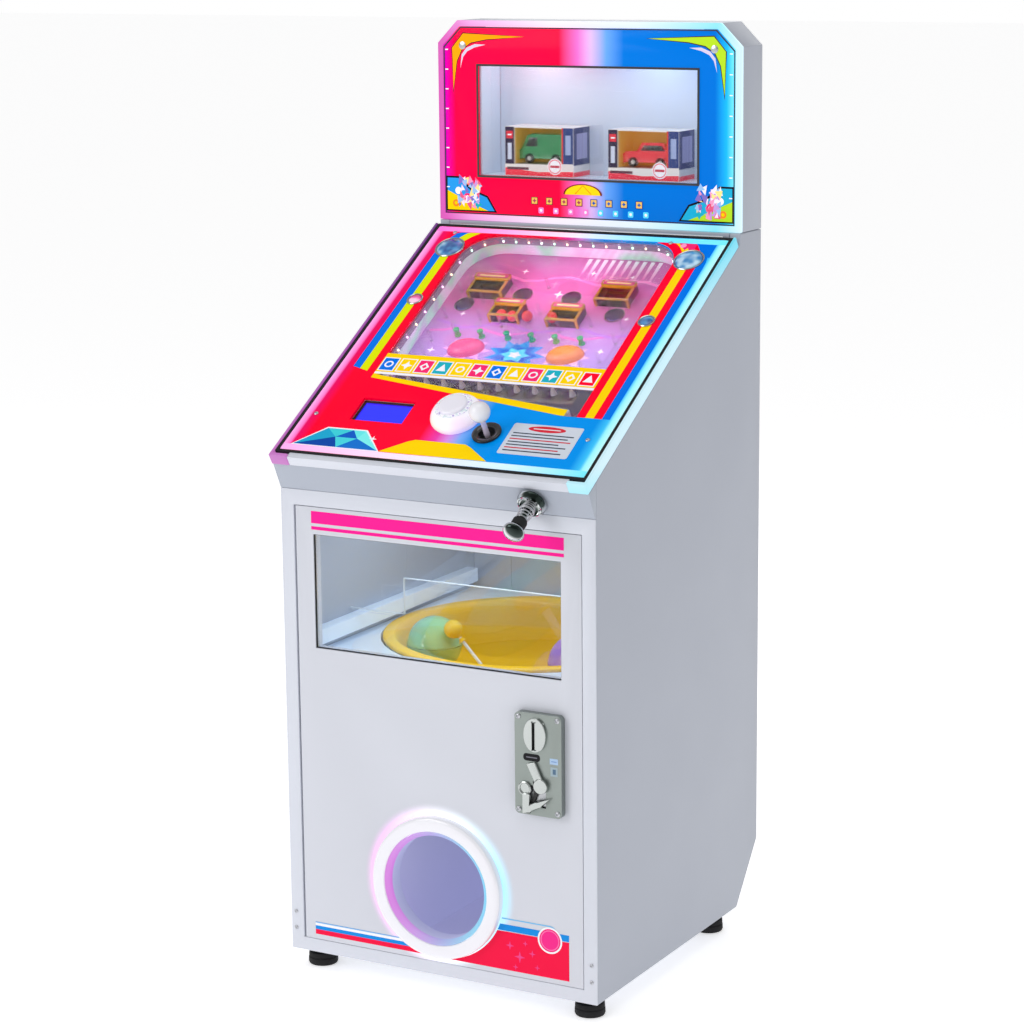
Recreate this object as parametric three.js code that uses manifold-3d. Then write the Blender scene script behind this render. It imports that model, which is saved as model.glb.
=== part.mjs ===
// A coin-operated marble pinball machine for children, with a prize turntable and a toy display.
// Millimetres. +X is the machine's right as a player sees it, +Y runs from front to back, +Z is up.
// Inside this file the cabinet's front face is y = 0 and its lower edge is z = 0; the last lines
// stand the machine on its feet and centre it on the origin.
import * as THREE from "three";
import { mergeVertices } from "three/addons/utils/BufferGeometryUtils.js";
import Module from "manifold-3d";

const wasm = await Module();
wasm.setup();

// Driving dimensions of the cabinet
const WIDTH = 450;
const HALF = WIDTH / 2;
const BOARD = 15; // side panels and base
const GAP = 0.3; // between pieces that touch
const FRONT_TOP = 614.5; // top of the front frame, where the apron starts
const NOSE = { y: -16.2, z: 648.7 }; // front edge of the sloping deck
const SLOPE = THREE.MathUtils.degToRad(30.75);
const DECK_LENGTH = 489;
const BACK = 474; // outside of the back
const CABINET_TOP = 916;
const MARQUEE_TOP = 1184.4;
const MARQUEE_FRONT = 408;
const MARQUEE_CHAMFER = 30;
const KICK = { y: 410, z: 80 }; // where the sloping lower back starts and ends
const FOOT = { radius: 19.5, height: 26, x: 198, front: 32, rear: 378 };
const INSIDE = HALF - BOARD - 0.6; // half width that fits between the side panels

// Front door, its window and its prize exit
const DOOR = { half: 205.6, low: 18.4, high: 593.4, depth: 16, gap: 0.8, pivot: 5.2, pin: 1.75 };
const WINDOW = { half: 177.5, low: 410, high: 558.4 };
const EXIT = { z: 119, ring: 93, face: 74.6, bore: 68, proud: 12 };
const COIN = { left: 117, right: 182, low: 237, high: 367, proud: 10 };

// Rear service door
const SERVICE = { half: 149.2, low: 130.8, high: 619.2, depth: 12 };

// Sloping deck: u runs across it, v up the slope from the nose, h out of it
const GLASS = { half: 216.2, low: 12.6, high: 483.7, under: 10.3, over: 14.4 };
const FIELD = { left: -159, right: 158.3, top: 472, corner: 48, low: 119, step: 135.5, high: 169 };
const FIELD_FLOOR = -18;
const BUTTON = { u: 1, v: 98, hole: 24 };
const STICK = { u: 54.4, v: 74, hole: 13, pivot: -10 };
const DISPLAY = { left: -148, right: -71, low: 79, high: 122 };
const PLUNGER = { u: 145, h: -18.3, flange: -4 };

// Prize turntable
const BOWL = { y: 255, rim: 200, top: 396, floor: 345 };

const lacquer = new THREE.MeshStandardMaterial({ color: 0xdcdeeb, roughness: 0.4 });
const sideLaminate = new THREE.MeshStandardMaterial({ color: 0xb4b7c0, roughness: 0.5 });
const steel = new THREE.MeshStandardMaterial({ color: 0xb9bcc0, roughness: 0.35, metalness: 1 });
const chrome = new THREE.MeshStandardMaterial({ color: 0xe6e6e8, roughness: 0.08, metalness: 1 });
const castMetal = new THREE.MeshStandardMaterial({ color: 0xa9ada6, roughness: 0.45, metalness: 1 });
const rubber = new THREE.MeshStandardMaterial({ color: 0x151516, roughness: 0.8 });
const blackPlastic = new THREE.MeshStandardMaterial({ color: 0x1b1b1e, roughness: 0.5 });
const whitePlastic = new THREE.MeshStandardMaterial({ color: 0xf4f4f6, roughness: 0.3 });
const clear = new THREE.MeshStandardMaterial({
  color: 0xe8f2f5, roughness: 0.05, transparent: true, opacity: 0.25,
});
const print = new THREE.MeshStandardMaterial({ color: 0xff1038, roughness: 0.2 });
const glowPink = new THREE.MeshStandardMaterial({ color: 0xf7a8ea, emissive: 0xf7a8ea });
const glowCyan = new THREE.MeshStandardMaterial({ color: 0xa8f7ff, emissive: 0xa8f7ff });
const glowWhite = new THREE.MeshStandardMaterial({ color: 0xffffff, emissive: 0xffffff });
const bowlYellow = new THREE.MeshStandardMaterial({ color: 0xf0b40a, roughness: 0.35 });
const mint = new THREE.MeshStandardMaterial({ color: 0x8cc39b, roughness: 0.25 });
const fieldPrint = new THREE.MeshStandardMaterial({ color: 0xe38fd0, roughness: 0.3 });
const circuit = new THREE.MeshStandardMaterial({ color: 0x1f6b3a, roughness: 0.5 });
const card = new THREE.MeshStandardMaterial({ color: 0xc23a44, roughness: 0.6 });

const machine = new THREE.Group();
const deck = new THREE.Group();
deck.position.set(0, NOSE.y, NOSE.z);
deck.rotation.x = SLOPE;
machine.add(deck);

function add(group, name, geometry, material) {
  const mesh = new THREE.Mesh(geometry, material);
  mesh.name = name;
  group.add(mesh);
}

// Solid shapes -------------------------------------------------------------------------------

function block(x, y, z) {
  const box = new THREE.BoxGeometry(x[1] - x[0], y[1] - y[0], z[1] - z[0]);
  return box.translate((x[0] + x[1]) / 2, (y[0] + y[1]) / 2, (z[0] + z[1]) / 2);
}

const outline = (points) => new THREE.Shape(points.map(([a, b]) => new THREE.Vector2(a, b)));

const rectangle = (a0, a1, b0, b1) => outline([[a0, b0], [a1, b0], [a1, b1], [a0, b1]]);

function roundedRectangle(left, right, low, high, radius) {
  const quarter = Math.PI / 2;
  return new THREE.Shape()
    .absarc(right - radius, low + radius, radius, -quarter, 0)
    .absarc(right - radius, high - radius, radius, 0, quarter)
    .absarc(left + radius, high - radius, radius, quarter, 2 * quarter)
    .absarc(left + radius, low + radius, radius, 2 * quarter, 3 * quarter)
    .closePath();
}

function circle(a, b, radius) {
  return new THREE.Shape().absarc(a, b, radius, 0, 2 * Math.PI, false);
}

// A shape drawn in X and Y, standing from z0 to z1.
function plateXY(shape, z0, z1, curveSegments = 10) {
  const plate = new THREE.ExtrudeGeometry(shape, { depth: z1 - z0, bevelEnabled: false, curveSegments });
  return plate.translate(0, 0, z0);
}

// A shape drawn in X and Z, running from y0 back to y1.
function plateXZ(shape, y0, y1, curveSegments = 12) {
  const plate = new THREE.ExtrudeGeometry(shape, { depth: y1 - y0, bevelEnabled: false, curveSegments });
  return plate.rotateX(Math.PI / 2).translate(0, y1, 0);
}

// A shape drawn in Y and Z, running from x0 across to x1.
function plateYZ(shape, x0, x1) {
  const plate = new THREE.ExtrudeGeometry(shape, { depth: x1 - x0, bevelEnabled: false, curveSegments: 8 });
  const turn = new THREE.Matrix4().makeBasis(
    new THREE.Vector3(0, 1, 0), new THREE.Vector3(0, 0, 1), new THREE.Vector3(1, 0, 0),
  );
  return plate.applyMatrix4(turn).translate(x0, 0, 0);
}

// A turned piece about the Y axis: points are [radius, y], either from axis to axis or a loop.
function turnedY(points, segments = 24) {
  const area = points.reduce((sum, [r, y], i) => {
    const [nextR, nextY] = points[(i + 1) % points.length];
    return sum + r * nextY - nextR * y;
  }, 0);
  const onAxis = points[0][0] === 0;
  const ordered = area > 0 ? [...points] : [...points].reverse();
  if (!onAxis) ordered.push(ordered[0]);
  return new THREE.LatheGeometry(ordered.map(([r, y]) => new THREE.Vector2(r, y)), segments);
}

const turnedZ = (points, segments) => turnedY(points, segments).rotateX(Math.PI / 2);

const cylinderX = (radius, x0, x1, y, z) =>
  new THREE.CylinderGeometry(radius, radius, x1 - x0, 16)
    .rotateZ(Math.PI / 2).translate((x0 + x1) / 2, y, z);

const cylinderY = (radius, y0, y1, x, z, segments = 32) =>
  new THREE.CylinderGeometry(radius, radius, y1 - y0, segments).translate(x, (y0 + y1) / 2, z);

const cylinderZ = (radius, z0, z1, x, y, segments = 32) =>
  new THREE.CylinderGeometry(radius, radius, z1 - z0, segments)
    .rotateX(Math.PI / 2).translate(x, y, (z0 + z1) / 2);

// Joining and cutting ------------------------------------------------------------------------

function toSolid(geometry) {
  const bare = geometry.clone();
  bare.deleteAttribute("normal");
  bare.deleteAttribute("uv");
  const merged = mergeVertices(bare, 1e-4);
  return new wasm.Manifold(new wasm.Mesh({
    numProp: 3,
    vertProperties: merged.attributes.position.array,
    triVerts: new Uint32Array(merged.index.array),
  }));
}

function toGeometry(solid) {
  const mesh = solid.getMesh();
  const geometry = new THREE.BufferGeometry();
  geometry.setAttribute("position", new THREE.BufferAttribute(mesh.vertProperties, 3));
  geometry.setIndex(new THREE.BufferAttribute(mesh.triVerts, 1));
  geometry.computeVertexNormals();
  return geometry;
}

const cut = (body, ...tools) =>
  toGeometry(tools.reduce((solid, tool) => solid.subtract(toSolid(tool)), toSolid(body)));

const join = (...pieces) =>
  toGeometry(pieces.map(toSolid).reduce((solid, piece) => solid.add(piece)));

// Cabinet ------------------------------------------------------------------------------------

function addCabinet() {
  const skin = 2; // front frame sheet
  const backThickness = 12;
  const onSlope = (y) => NOSE.z + (y - NOSE.y) * Math.tan(SLOPE);
  const side = outline([
    [skin + GAP, 0], [KICK.y, 0], [BACK, KICK.z], [BACK, CABINET_TOP - GAP],
    [MARQUEE_FRONT, CABINET_TOP - GAP], [MARQUEE_FRONT, onSlope(MARQUEE_FRONT)],
    [skin + GAP, onSlope(skin + GAP)],
  ]);
  add(machine, "left_side_panel", plateYZ(side, -HALF, BOARD - HALF), sideLaminate);
  add(machine, "right_side_panel", plateYZ(side, HALF - BOARD, HALF), sideLaminate);

  add(machine, "base_board", block([-INSIDE, INSIDE], [20, 397], [0, BOARD]), sideLaminate);
  const kick = outline([[KICK.y, 0.2], [BACK, KICK.z], [BACK - 12, KICK.z], [KICK.y - 12, 0.2]]);
  add(machine, "kick_panel", plateYZ(kick, -INSIDE, INSIDE), sideLaminate);
  add(machine, "top_board", block([-INSIDE, INSIDE], [MARQUEE_FRONT, BACK - backThickness - GAP],
    [CABINET_TOP - 12, CABINET_TOP - GAP]), sideLaminate);

  // The front frame is one folded sheet: a face and a flange round the door opening.
  const opening = DOOR.half + DOOR.gap;
  const low = DOOR.low - DOOR.gap;
  const high = DOOR.high + DOOR.gap;
  const face = rectangle(-HALF, HALF, 0, FRONT_TOP);
  face.holes.push(rectangle(-opening, opening, low, high));
  const flange = rectangle(-opening - 3, opening + 3, low - 3, high + 3);
  flange.holes.push(rectangle(-opening, opening, low, high));
  add(machine, "front_frame", join(plateXZ(face, 0, skin), plateXZ(flange, skin - 0.5, 18)), lacquer);

  // The apron is the slanting nose rail that the plunger comes through.
  const nose = outline([
    [0, FRONT_TOP + GAP], [NOSE.y, NOSE.z],
    [skin, onSlope(skin)], [skin, FRONT_TOP + GAP],
  ]);
  const plungerHole = cylinderY(12, -40, 60, PLUNGER.u, PLUNGER.h)
    .rotateX(SLOPE).translate(0, NOSE.y, NOSE.z);
  add(machine, "apron", cut(plateYZ(nose, -HALF, HALF), plungerHole), lacquer);

  // The back has a large opening for the service door and two small ones for the power unit.
  const back = rectangle(-INSIDE, INSIDE, KICK.z + GAP, CABINET_TOP - GAP);
  const reach = SERVICE.half + DOOR.gap;
  back.holes.push(rectangle(-reach, reach, SERVICE.low - DOOR.gap, SERVICE.high + DOOR.gap));
  back.holes.push(rectangle(-134, -106, 92, 118));
  back.holes.push(rectangle(-88, -72, 93, 117));
  add(machine, "back_frame", plateXZ(back, BACK - backThickness, BACK), sideLaminate);
}

function addFeet() {
  const { radius, height, x, front, rear } = FOOT;
  const profile = [[0, -height], [radius - 3, -height], [radius, -height + 3], [radius - 1, -9],
    [radius - 5, -9], [radius - 5, -GAP], [0, -GAP]];
  const places = {
    foot_front_left: [-x, front], foot_front_right: [x, front],
    foot_rear_left: [-x, rear], foot_rear_right: [x, rear],
  };
  for (const [name, [footX, footY]] of Object.entries(places))
    add(machine, name, turnedZ(profile).translate(footX, footY, 0), rubber);
}

// Front door ---------------------------------------------------------------------------------

// Plan of a door leaf whose outer face is at y = face; inward is 1 or -1, the way to the inside.
// Its hinge edge is rounded about the pin, whose bore runs top to bottom.
function leafPlan(half, face, depth, inward) {
  const { pivot } = DOOR;
  const pinY = face + inward * pivot;
  const plan = new THREE.Shape();
  plan.moveTo(-half, face + inward * depth);
  plan.lineTo(-half, pinY);
  plan.absarc(-half + pivot, pinY, pivot, Math.PI, (1 + inward / 2) * Math.PI, inward < 0);
  plan.lineTo(half, face);
  plan.lineTo(half, face + inward * depth);
  plan.holes.push(circle(-half + pivot, pinY, DOOR.pin + 0.35));
  return plan;
}

function addFrontDoor() {
  const leaf = plateXY(leafPlan(DOOR.half, 0, DOOR.depth, 1), DOOR.low, DOOR.high);
  const windowCut = block([-WINDOW.half, WINDOW.half], [-5, 30], [WINDOW.low, WINDOW.high]);
  const coinCut = block([COIN.left + 4, COIN.right - 4], [-5, 30], [COIN.low + 4, COIN.high - 4]);
  const exitCut = cylinderY(EXIT.face + 0.4, -5, 30, 0, EXIT.z, 48);
  add(machine, "front_door", cut(leaf, windowCut, coinCut, exitCut), lacquer);
  add(machine, "door_hinge_pin", cylinderZ(DOOR.pin, DOOR.low - 0.5, DOOR.high + 0.5,
    -DOOR.half + DOOR.pivot, DOOR.pivot, 12), steel);

  const pane = block([-WINDOW.half + GAP, WINDOW.half - GAP], [5, 9],
    [WINDOW.low + GAP, WINDOW.high - GAP]);
  add(machine, "door_window", pane, clear);

  const { ring, face, bore, proud, z } = EXIT;
  const ringProfile = [[face, -proud + 2], [face + 2, -proud], [ring - 2, -proud],
    [ring, -proud + 2], [ring, -GAP], [face, -GAP]];
  add(machine, "exit_ring", turnedY(ringProfile, 48).translate(0, 0, z), whitePlastic);
  const lightProfile = [[bore, -4], [face - GAP, 1 - proud], [face - GAP, 17], [bore, 17]];
  add(machine, "ring_light", turnedY(lightProfile, 48).translate(0, 0, z), glowWhite);
}

// The coin unit: a cast plate outside the door, and the coin mechanism behind it.
function addCoinUnit() {
  const { left, right, low, high, proud } = COIN;
  const slot = { x: [143, 148], z: [321, 357] };
  const cup = { x: [131, 160], z: [248, 275] };
  const plate = roundedRectangle(left, right, low, high, 6);
  plate.holes.push(rectangle(...slot.x, ...slot.z));
  plate.holes.push(rectangle(...cup.x, ...cup.z));
  add(machine, "coin_plate", plateXZ(plate, -proud, -GAP), castMetal);

  const mechanism = block([124, 176], [2, 74], [243, 361]);
  const channel = block([142.5, 148.5], [1, 60], [283, 358]);
  const returnWay = block([142.5, 148.5], [24, 60], [260, 300]);
  const cupPocket = block([cup.x[0] - 1, cup.x[1] + 1], [1, 40], [cup.z[0] - 1, cup.z[1] + 1]);
  add(machine, "coin_mechanism", cut(mechanism, channel, returnWay, cupPocket), blackPlastic);

  // The return flap hangs from its upper edge and swings into the cup.
  add(machine, "coin_flap", block([131.5, 159.5], [-7, -5], [249, 274.5]), steel);

  // The return lever: a round boss that it turns on, and an arm up to the left.
  const boss = cylinderY(9.4, -16, -proud - GAP, 155, 276.5, 20);
  const arm = outline([[152, 270], [159, 281], [147, 306], [135, 303]]);
  add(machine, "coin_return_lever", join(boss, plateXZ(arm, -14, -proud - GAP)), castMetal);

  const box = block([90, 190], [80, 220], [BOARD + GAP, 130]);
  add(machine, "cash_box", cut(box, block([92, 188], [82, 218], [BOARD + 2.3, 140])), steel);
}

// Prize system -------------------------------------------------------------------------------

function addPrizeSystem() {
  // Both shelves stop clear of the service door's hinge corner, which swings inwards.
  const rear = BACK - SERVICE.depth - 2.5;
  const shelf = rectangle(-INSIDE, INSIDE, 20, rear);
  shelf.holes.push(circle(0, BOWL.y, BOWL.rim + 3));
  add(machine, "prize_shelf", plateXY(shelf, 386, 392, 24), whitePlastic);

  const dropPlate = rectangle(-INSIDE, INSIDE, 96, rear);
  dropPlate.holes.push(circle(0, 155, 45));
  dropPlate.holes.push(circle(0, BOWL.y, 10));
  add(machine, "drop_plate", plateXY(dropPlate, 324, 330, 12), steel);

  // The turntable is a basin with an outlet in its floor, which passes over the drop hole.
  const { rim, top, floor } = BOWL;
  const bowlProfile = [[0, 320.8], [6, 320.8], [6, floor - 4], [151, floor - 4], [186, top - 5],
    [rim, top - 5], [rim, top - 1], [rim - 2, top], [rim - 15, top], [152, floor], [0, floor]];
  const outletAngle = THREE.MathUtils.degToRad(20);
  const outlet = cylinderZ(45, 335, 350, 100 * Math.cos(outletAngle), 100 * Math.sin(outletAngle));
  const bowl = cut(turnedZ(bowlProfile, 64), outlet).translate(0, BOWL.y, 0);
  add(machine, "turntable_bowl", bowl, bowlYellow);

  const motor = [[0, 250], [22, 250], [22, 285], [30, 285], [30, 320.3], [0, 320.3]];
  add(machine, "turntable_motor", turnedZ(motor, 20).translate(0, BOWL.y, 0), blackPlastic);

  const capsule = new THREE.SphereGeometry(37.5, 20, 12).translate(-103, 171, 386);
  add(machine, "prize_capsule", capsule, mint);

  // The lollipop leans on the capsule, with its stick down to the floor of the bowl.
  const sweet = new THREE.Vector3(-64, 153, 413.5);
  const stickEnd = new THREE.Vector3(-13, 166, 349);
  const stick = stickEnd.clone().sub(sweet);
  const up = new THREE.Vector3(0, 1, 0);
  const turn = new THREE.Quaternion().setFromUnitVectors(up, stick.clone().normalize());
  const stickShape = new THREE.CylinderGeometry(1.6, 1.6, stick.length(), 8)
    .translate(0, stick.length() / 2, 0).applyQuaternion(turn);
  const lollipop = join(new THREE.SphereGeometry(12.5, 16, 10), stickShape);
  add(machine, "lollipop", lollipop.translate(sweet.x, sweet.y, sweet.z), bowlYellow);

  // The exit chute stands on the base: floor, two sides and a back, open above and in front.
  const chute = block([-81, 81], [19.5, 262], [BOARD + GAP, 215]);
  add(machine, "exit_chute", cut(chute, block([-78, 78], [10, 259], [BOARD + 2.3, 230])), lacquer);
}

// Sloping deck -------------------------------------------------------------------------------

// Outline of the play opening: arched corners above, a slanting lower edge with a step at right.
function fieldOutline(grow) {
  const { left, right, top, corner, low, step, high } = FIELD;
  const shape = new THREE.Shape();
  shape.moveTo(left - grow, high - grow);
  shape.lineTo(140 - grow, step - grow);
  shape.lineTo(140 - grow, low - grow);
  shape.lineTo(right + grow, low - grow);
  shape.lineTo(right + grow, top - corner);
  shape.absarc(right - corner, top - corner, corner + grow, 0, Math.PI / 2, false);
  shape.lineTo(left + corner, top + grow);
  shape.absarc(left + corner, top - corner, corner + grow, Math.PI / 2, Math.PI, false);
  shape.closePath();
  return shape;
}

function addDeckLid() {
  const frame = rectangle(-219, 219, 7.6, DECK_LENGTH);
  frame.holes.push(fieldOutline(0));
  frame.holes.push(circle(BUTTON.u, BUTTON.v, BUTTON.hole));
  frame.holes.push(circle(STICK.u, STICK.v, STICK.hole));
  frame.holes.push(rectangle(DISPLAY.left - 1, DISPLAY.right + 1, DISPLAY.low - 1, DISPLAY.high + 1));
  const lip = block([-198.6, 198.6], [-1, 8], [GAP, 13.5]);
  add(deck, "deck_frame", join(plateXY(frame, GAP, GLASS.under - GAP, 8), lip), lacquer);

  const glass = rectangle(-GLASS.half, GLASS.half, GLASS.low, GLASS.high);
  glass.holes.push(circle(BUTTON.u, BUTTON.v, BUTTON.hole));
  glass.holes.push(circle(STICK.u, STICK.v, STICK.hole));
  glass.holes.push(rectangle(DISPLAY.left, DISPLAY.right, DISPLAY.low, DISPLAY.high));
  add(deck, "deck_glass", plateXY(glass, GLASS.under, GLASS.over, 8), print);

  const gasket = rectangle(-221.2, 221.2, 8.3, DECK_LENGTH);
  gasket.holes.push(rectangle(-GLASS.half - GAP, GLASS.half + GAP, GLASS.low - GAP, GLASS.high + GAP));
  add(deck, "glass_gasket", plateXY(gasket, GLASS.under, GLASS.over + 0.3), rubber);

  // Light trims run up both edges and turn the front corners, where the frame's lip meets them.
  const trimTop = 16;
  for (const [name, side, material] of [["left", -1, glowPink], ["right", 1, glowCyan]]) {
    const trim = outline([[221.6, 3.2], [221.6, DECK_LENGTH], [HALF, DECK_LENGTH], [HALF, -2],
      [199, -2], [199, 3.2]].map(([u, v]) => [side * u, v]));
    add(deck, "light_trim_" + name, plateXY(trim, GAP, trimTop), material);
  }

  const module = block([DISPLAY.left, DISPLAY.right], [DISPLAY.low, DISPLAY.high], [-6, 8]);
  add(deck, "display_module", module, blackPlastic);

  const hingeV = DECK_LENGTH + 3.4;
  add(deck, "deck_hinge_pin", cylinderX(2, -205, 205, hingeV, 12), steel);
}

function addControls() {
  // A lit dome holds the play button, whose cap slides in the dome's bore.
  const domeProfile = [[19.4, -22], [23.4, -22], [23.4, GLASS.over + GAP], [31.6, GLASS.over + GAP],
    [33.4, 17.5], [33.8, 20.5], [32.6, 25], [29.8, 29.6], [26.6, 32.8], [24.3, 34.3], [19.4, 34.3]];
  const dome = turnedZ(domeProfile, 28).translate(BUTTON.u, BUTTON.v, 0);
  add(deck, "button_dome", dome, whitePlastic);
  const capProfile = [[0, 6], [18.8, 6], [18.8, 37], [17.4, 38.7], [0, 39.4]];
  add(deck, "play_button", turnedZ(capProfile, 28).translate(BUTTON.u, BUTTON.v, 0), whitePlastic);

  // Joystick: a base with a round cavity, a gimbal ring that tilts in it, and the stick.
  const baseProfile = [[11.2, 16.5], [19, 16.5], [19, GLASS.over + GAP], [12.6, GLASS.over + GAP],
    [12.6, -0.5], [27, -0.5], [27, -30], [23.5, -30], [23.5, -3.5], [11.2, -3.5]];
  const base = turnedZ(baseProfile, 28).translate(STICK.u, STICK.v, 0);
  add(deck, "joystick_base", base, blackPlastic);

  const ring = turnedZ([[14, -3], [18, -3], [18, 3], [14, 3]], 20);
  const trunnions = [cylinderX(2, 16, 22.5, 0, 0), cylinderX(2, -22.5, -16, 0, 0)];
  const gimbal = join(ring, ...trunnions).translate(STICK.u, STICK.v, STICK.pivot);
  add(deck, "joystick_gimbal", gimbal, steel);

  const stickProfile = [[0, -26], [3.5, -26], [3.5, 36.5], [8.3, 38.8], [12.2, 43.5], [13.5, 49.4],
    [12.2, 55.3], [8.3, 60.4], [3.5, 62.5], [0, 62.9]];
  const axle = cylinderY(1.5, -13.5, 13.5, 0, STICK.pivot, 10);
  const stick = join(turnedZ(stickProfile, 20), axle).translate(STICK.u, STICK.v, 0);
  add(deck, "joystick", stick, whitePlastic);
}

// The plunger lies along the slope, so it is turned about the deck's own v axis.
function addPlunger() {
  const { u, h, flange } = PLUNGER;
  const sleeve = [[5.4, flange - 8], [9, flange - 9], [17, flange - 5], [19, flange - 1],
    [19, flange], [11, flange], [11, 30], [5.4, 30]];
  add(deck, "plunger_housing", turnedY(sleeve).translate(u, 0, h), chrome);

  const collar = 100.5;
  const rod = [[0, -65], [12, -63.5], [14, -60], [13, -57], [7, -54], [6, -50.9], [4.6, -50.9],
    [4.6, collar], [9, collar], [9, collar + 3], [4.6, collar + 3], [4.6, 117], [0, 117]];
  add(deck, "plunger", turnedY(rod, 20).translate(u, 0, h), chrome);

  // The spring's envelope, between the housing's inner end and the rod's collar.
  const spring = [[6.2, 30.4], [8.6, 30.4], [8.6, collar - 0.4], [6.2, collar - 0.4]];
  add(deck, "plunger_spring", turnedY(spring, 16).translate(u, 0, h), steel);
}

function addPlayfield() {
  const board = rectangle(-168, 168, 124, 478);
  const lane = { left: 136, right: 154, floor: -26.5 };
  const cups = [[-127, 359], [-51, 386], [22, 385], [98, 356]];
  for (const [u, v] of cups) board.holes.push(circle(u, v, 12));
  const laneCut = block([lane.left, lane.right], [90, 330], [lane.floor, 0]);
  add(deck, "playfield_board", cut(plateXY(board, -30, FIELD_FLOOR, 8), laneCut), fieldPrint);

  const wall = fieldOutline(4);
  wall.holes.push(fieldOutline(0));
  const plungerWay = cylinderY(9.5, 90, 125, PLUNGER.u, PLUNGER.h, 20);
  const rail = cut(plateXY(wall, FIELD_FLOOR + GAP, 0, 8), plungerWay);
  add(deck, "playfield_rail", rail, clear);

  // Prize pockets: a bar with round notches that catch the marble, along the slanting lower edge.
  const pockets = new THREE.Shape();
  const pitch = 26.4;
  const first = -146;
  const count = 10;
  pockets.moveTo(first, 176);
  for (let i = 0; i < count; i += 1) {
    const start = first + i * pitch;
    pockets.lineTo(start, 196);
    pockets.absarc(start + pitch / 2, 196, 10.5, Math.PI, 2 * Math.PI, false);
  }
  pockets.lineTo(first + count * pitch, 196);
  pockets.lineTo(first + count * pitch, 176);
  add(deck, "pocket_rack", plateXY(pockets, FIELD_FLOOR + GAP, -8, 5), clear);
}

// Marquee ------------------------------------------------------------------------------------

function marqueeOutline(inset) {
  const x = HALF - inset;
  const low = CABINET_TOP + inset + 0.4;
  const high = MARQUEE_TOP - inset;
  const leg = MARQUEE_CHAMFER - inset * (2 - Math.SQRT2);
  return outline([[-x, low], [x, low], [x, high - leg], [x - leg, high], [leg - x, high],
    [-x, high - leg]]);
}

function addMarquee() {
  const front = MARQUEE_FRONT;
  const trim = marqueeOutline(0);
  trim.holes.push(marqueeOutline(8));
  add(machine, "marquee_trim", plateXZ(trim, front, front + 8), glowWhite);

  const window = { half: 163, low: 978, high: 1124 };
  const panel = marqueeOutline(8.4);
  panel.holes.push(rectangle(-window.half, window.half, window.low, window.high));
  add(machine, "marquee_panel", plateXZ(panel, front + 1, front + 4), print);
  const pane = rectangle(-window.half - 8, window.half + 8, window.low - 8, window.high + 8);
  add(machine, "marquee_window", plateXZ(pane, front + 4.4, front + 6.8), clear);

  const rear = front + 8 + GAP;
  const shell = plateXZ(marqueeOutline(0), rear, BACK);
  const hollow = plateXZ(marqueeOutline(3), rear - 5, BACK - 3);
  const shelf = block([-HALF + 2, HALF - 2], [rear, BACK - 2], [972, 978]);
  add(machine, "marquee_shell", join(cut(shell, hollow), shelf), sideLaminate);
  for (const [name, x] of [["toy_box_left", -128], ["toy_box_right", 28]])
    add(machine, name, block([x, x + 104], [418.5, 466], [978.4, 1044]), card);
}

// Rear door, power and electronics -----------------------------------------------------------

function addRear() {
  const plan = leafPlan(SERVICE.half, BACK, SERVICE.depth, -1);
  const leaf = plateXY(plan, SERVICE.low, SERVICE.high);
  const louvres = [];
  for (let i = 0; i < 8; i += 1) {
    const low = 180 + i * 16;
    louvres.push(block([-70, 70], [BACK - 30, BACK + 10], [low, low + 5]));
  }
  const lock = { x: 128, z: 375 };
  const lockHole = cylinderY(9.5, BACK - 30, BACK + 10, lock.x, lock.z, 20);
  add(machine, "service_door", cut(leaf, ...louvres, lockHole), sideLaminate);
  add(machine, "service_hinge_pin", cylinderZ(DOOR.pin, SERVICE.low - 0.5, SERVICE.high + 0.5,
    -SERVICE.half + DOOR.pivot, BACK - DOOR.pivot, 12), steel);

  const barrel = turnedY([[0, 450], [9, 450], [9, BACK + GAP], [11, BACK + GAP],
    [11, BACK + 3], [0, BACK + 3]], 20).translate(lock.x, 0, lock.z);
  const cam = block([lock.x - 6, lock.x + 6], [451, 454], [lock.z - 36, lock.z]);
  add(machine, "service_lock", join(barrel, cam), chrome);

  const flange = block([-146, -66], [BACK + GAP, BACK + 3], [87, 123]);
  const socket = block([-133, -107], [450, BACK + 1], [93, 117]);
  const pinWell = block([-130, -110], [BACK - 16, BACK + 10], [96, 114]);
  const switchHole = block([-87, -73], [BACK - 30, BACK + 10], [94, 116]);
  add(machine, "power_inlet", cut(join(flange, socket), pinWell, switchHole), blackPlastic);
  const rocker = outline([[462, 98], [476, 96.5], [476, 104], [479, 113.5], [466, 112]]);
  add(machine, "power_switch", plateYZ(rocker, -86, -74), blackPlastic);

  add(machine, "power_supply", block([-195, -100], [280, 400], [BOARD + GAP, 70]), steel);
  add(machine, "control_board", block([-208, -196], [200, 360], [110, 250]), circuit);
}

addCabinet();
addFeet();
addFrontDoor();
addCoinUnit();
addPrizeSystem();
addDeckLid();
addControls();
addPlunger();
addPlayfield();
addMarquee();
addRear();

// The origin is under the middle of the whole machine, on the floor.
machine.updateMatrixWorld(true);
const extent = new THREE.Box3().setFromObject(machine, true);
machine.position.set(0, -(extent.min.y + extent.max.y) / 2, FOOT.height);

export default machine;
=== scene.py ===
import math
import random

import bmesh
import bpy
from mathutils import Matrix, Quaternion, Vector


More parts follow.
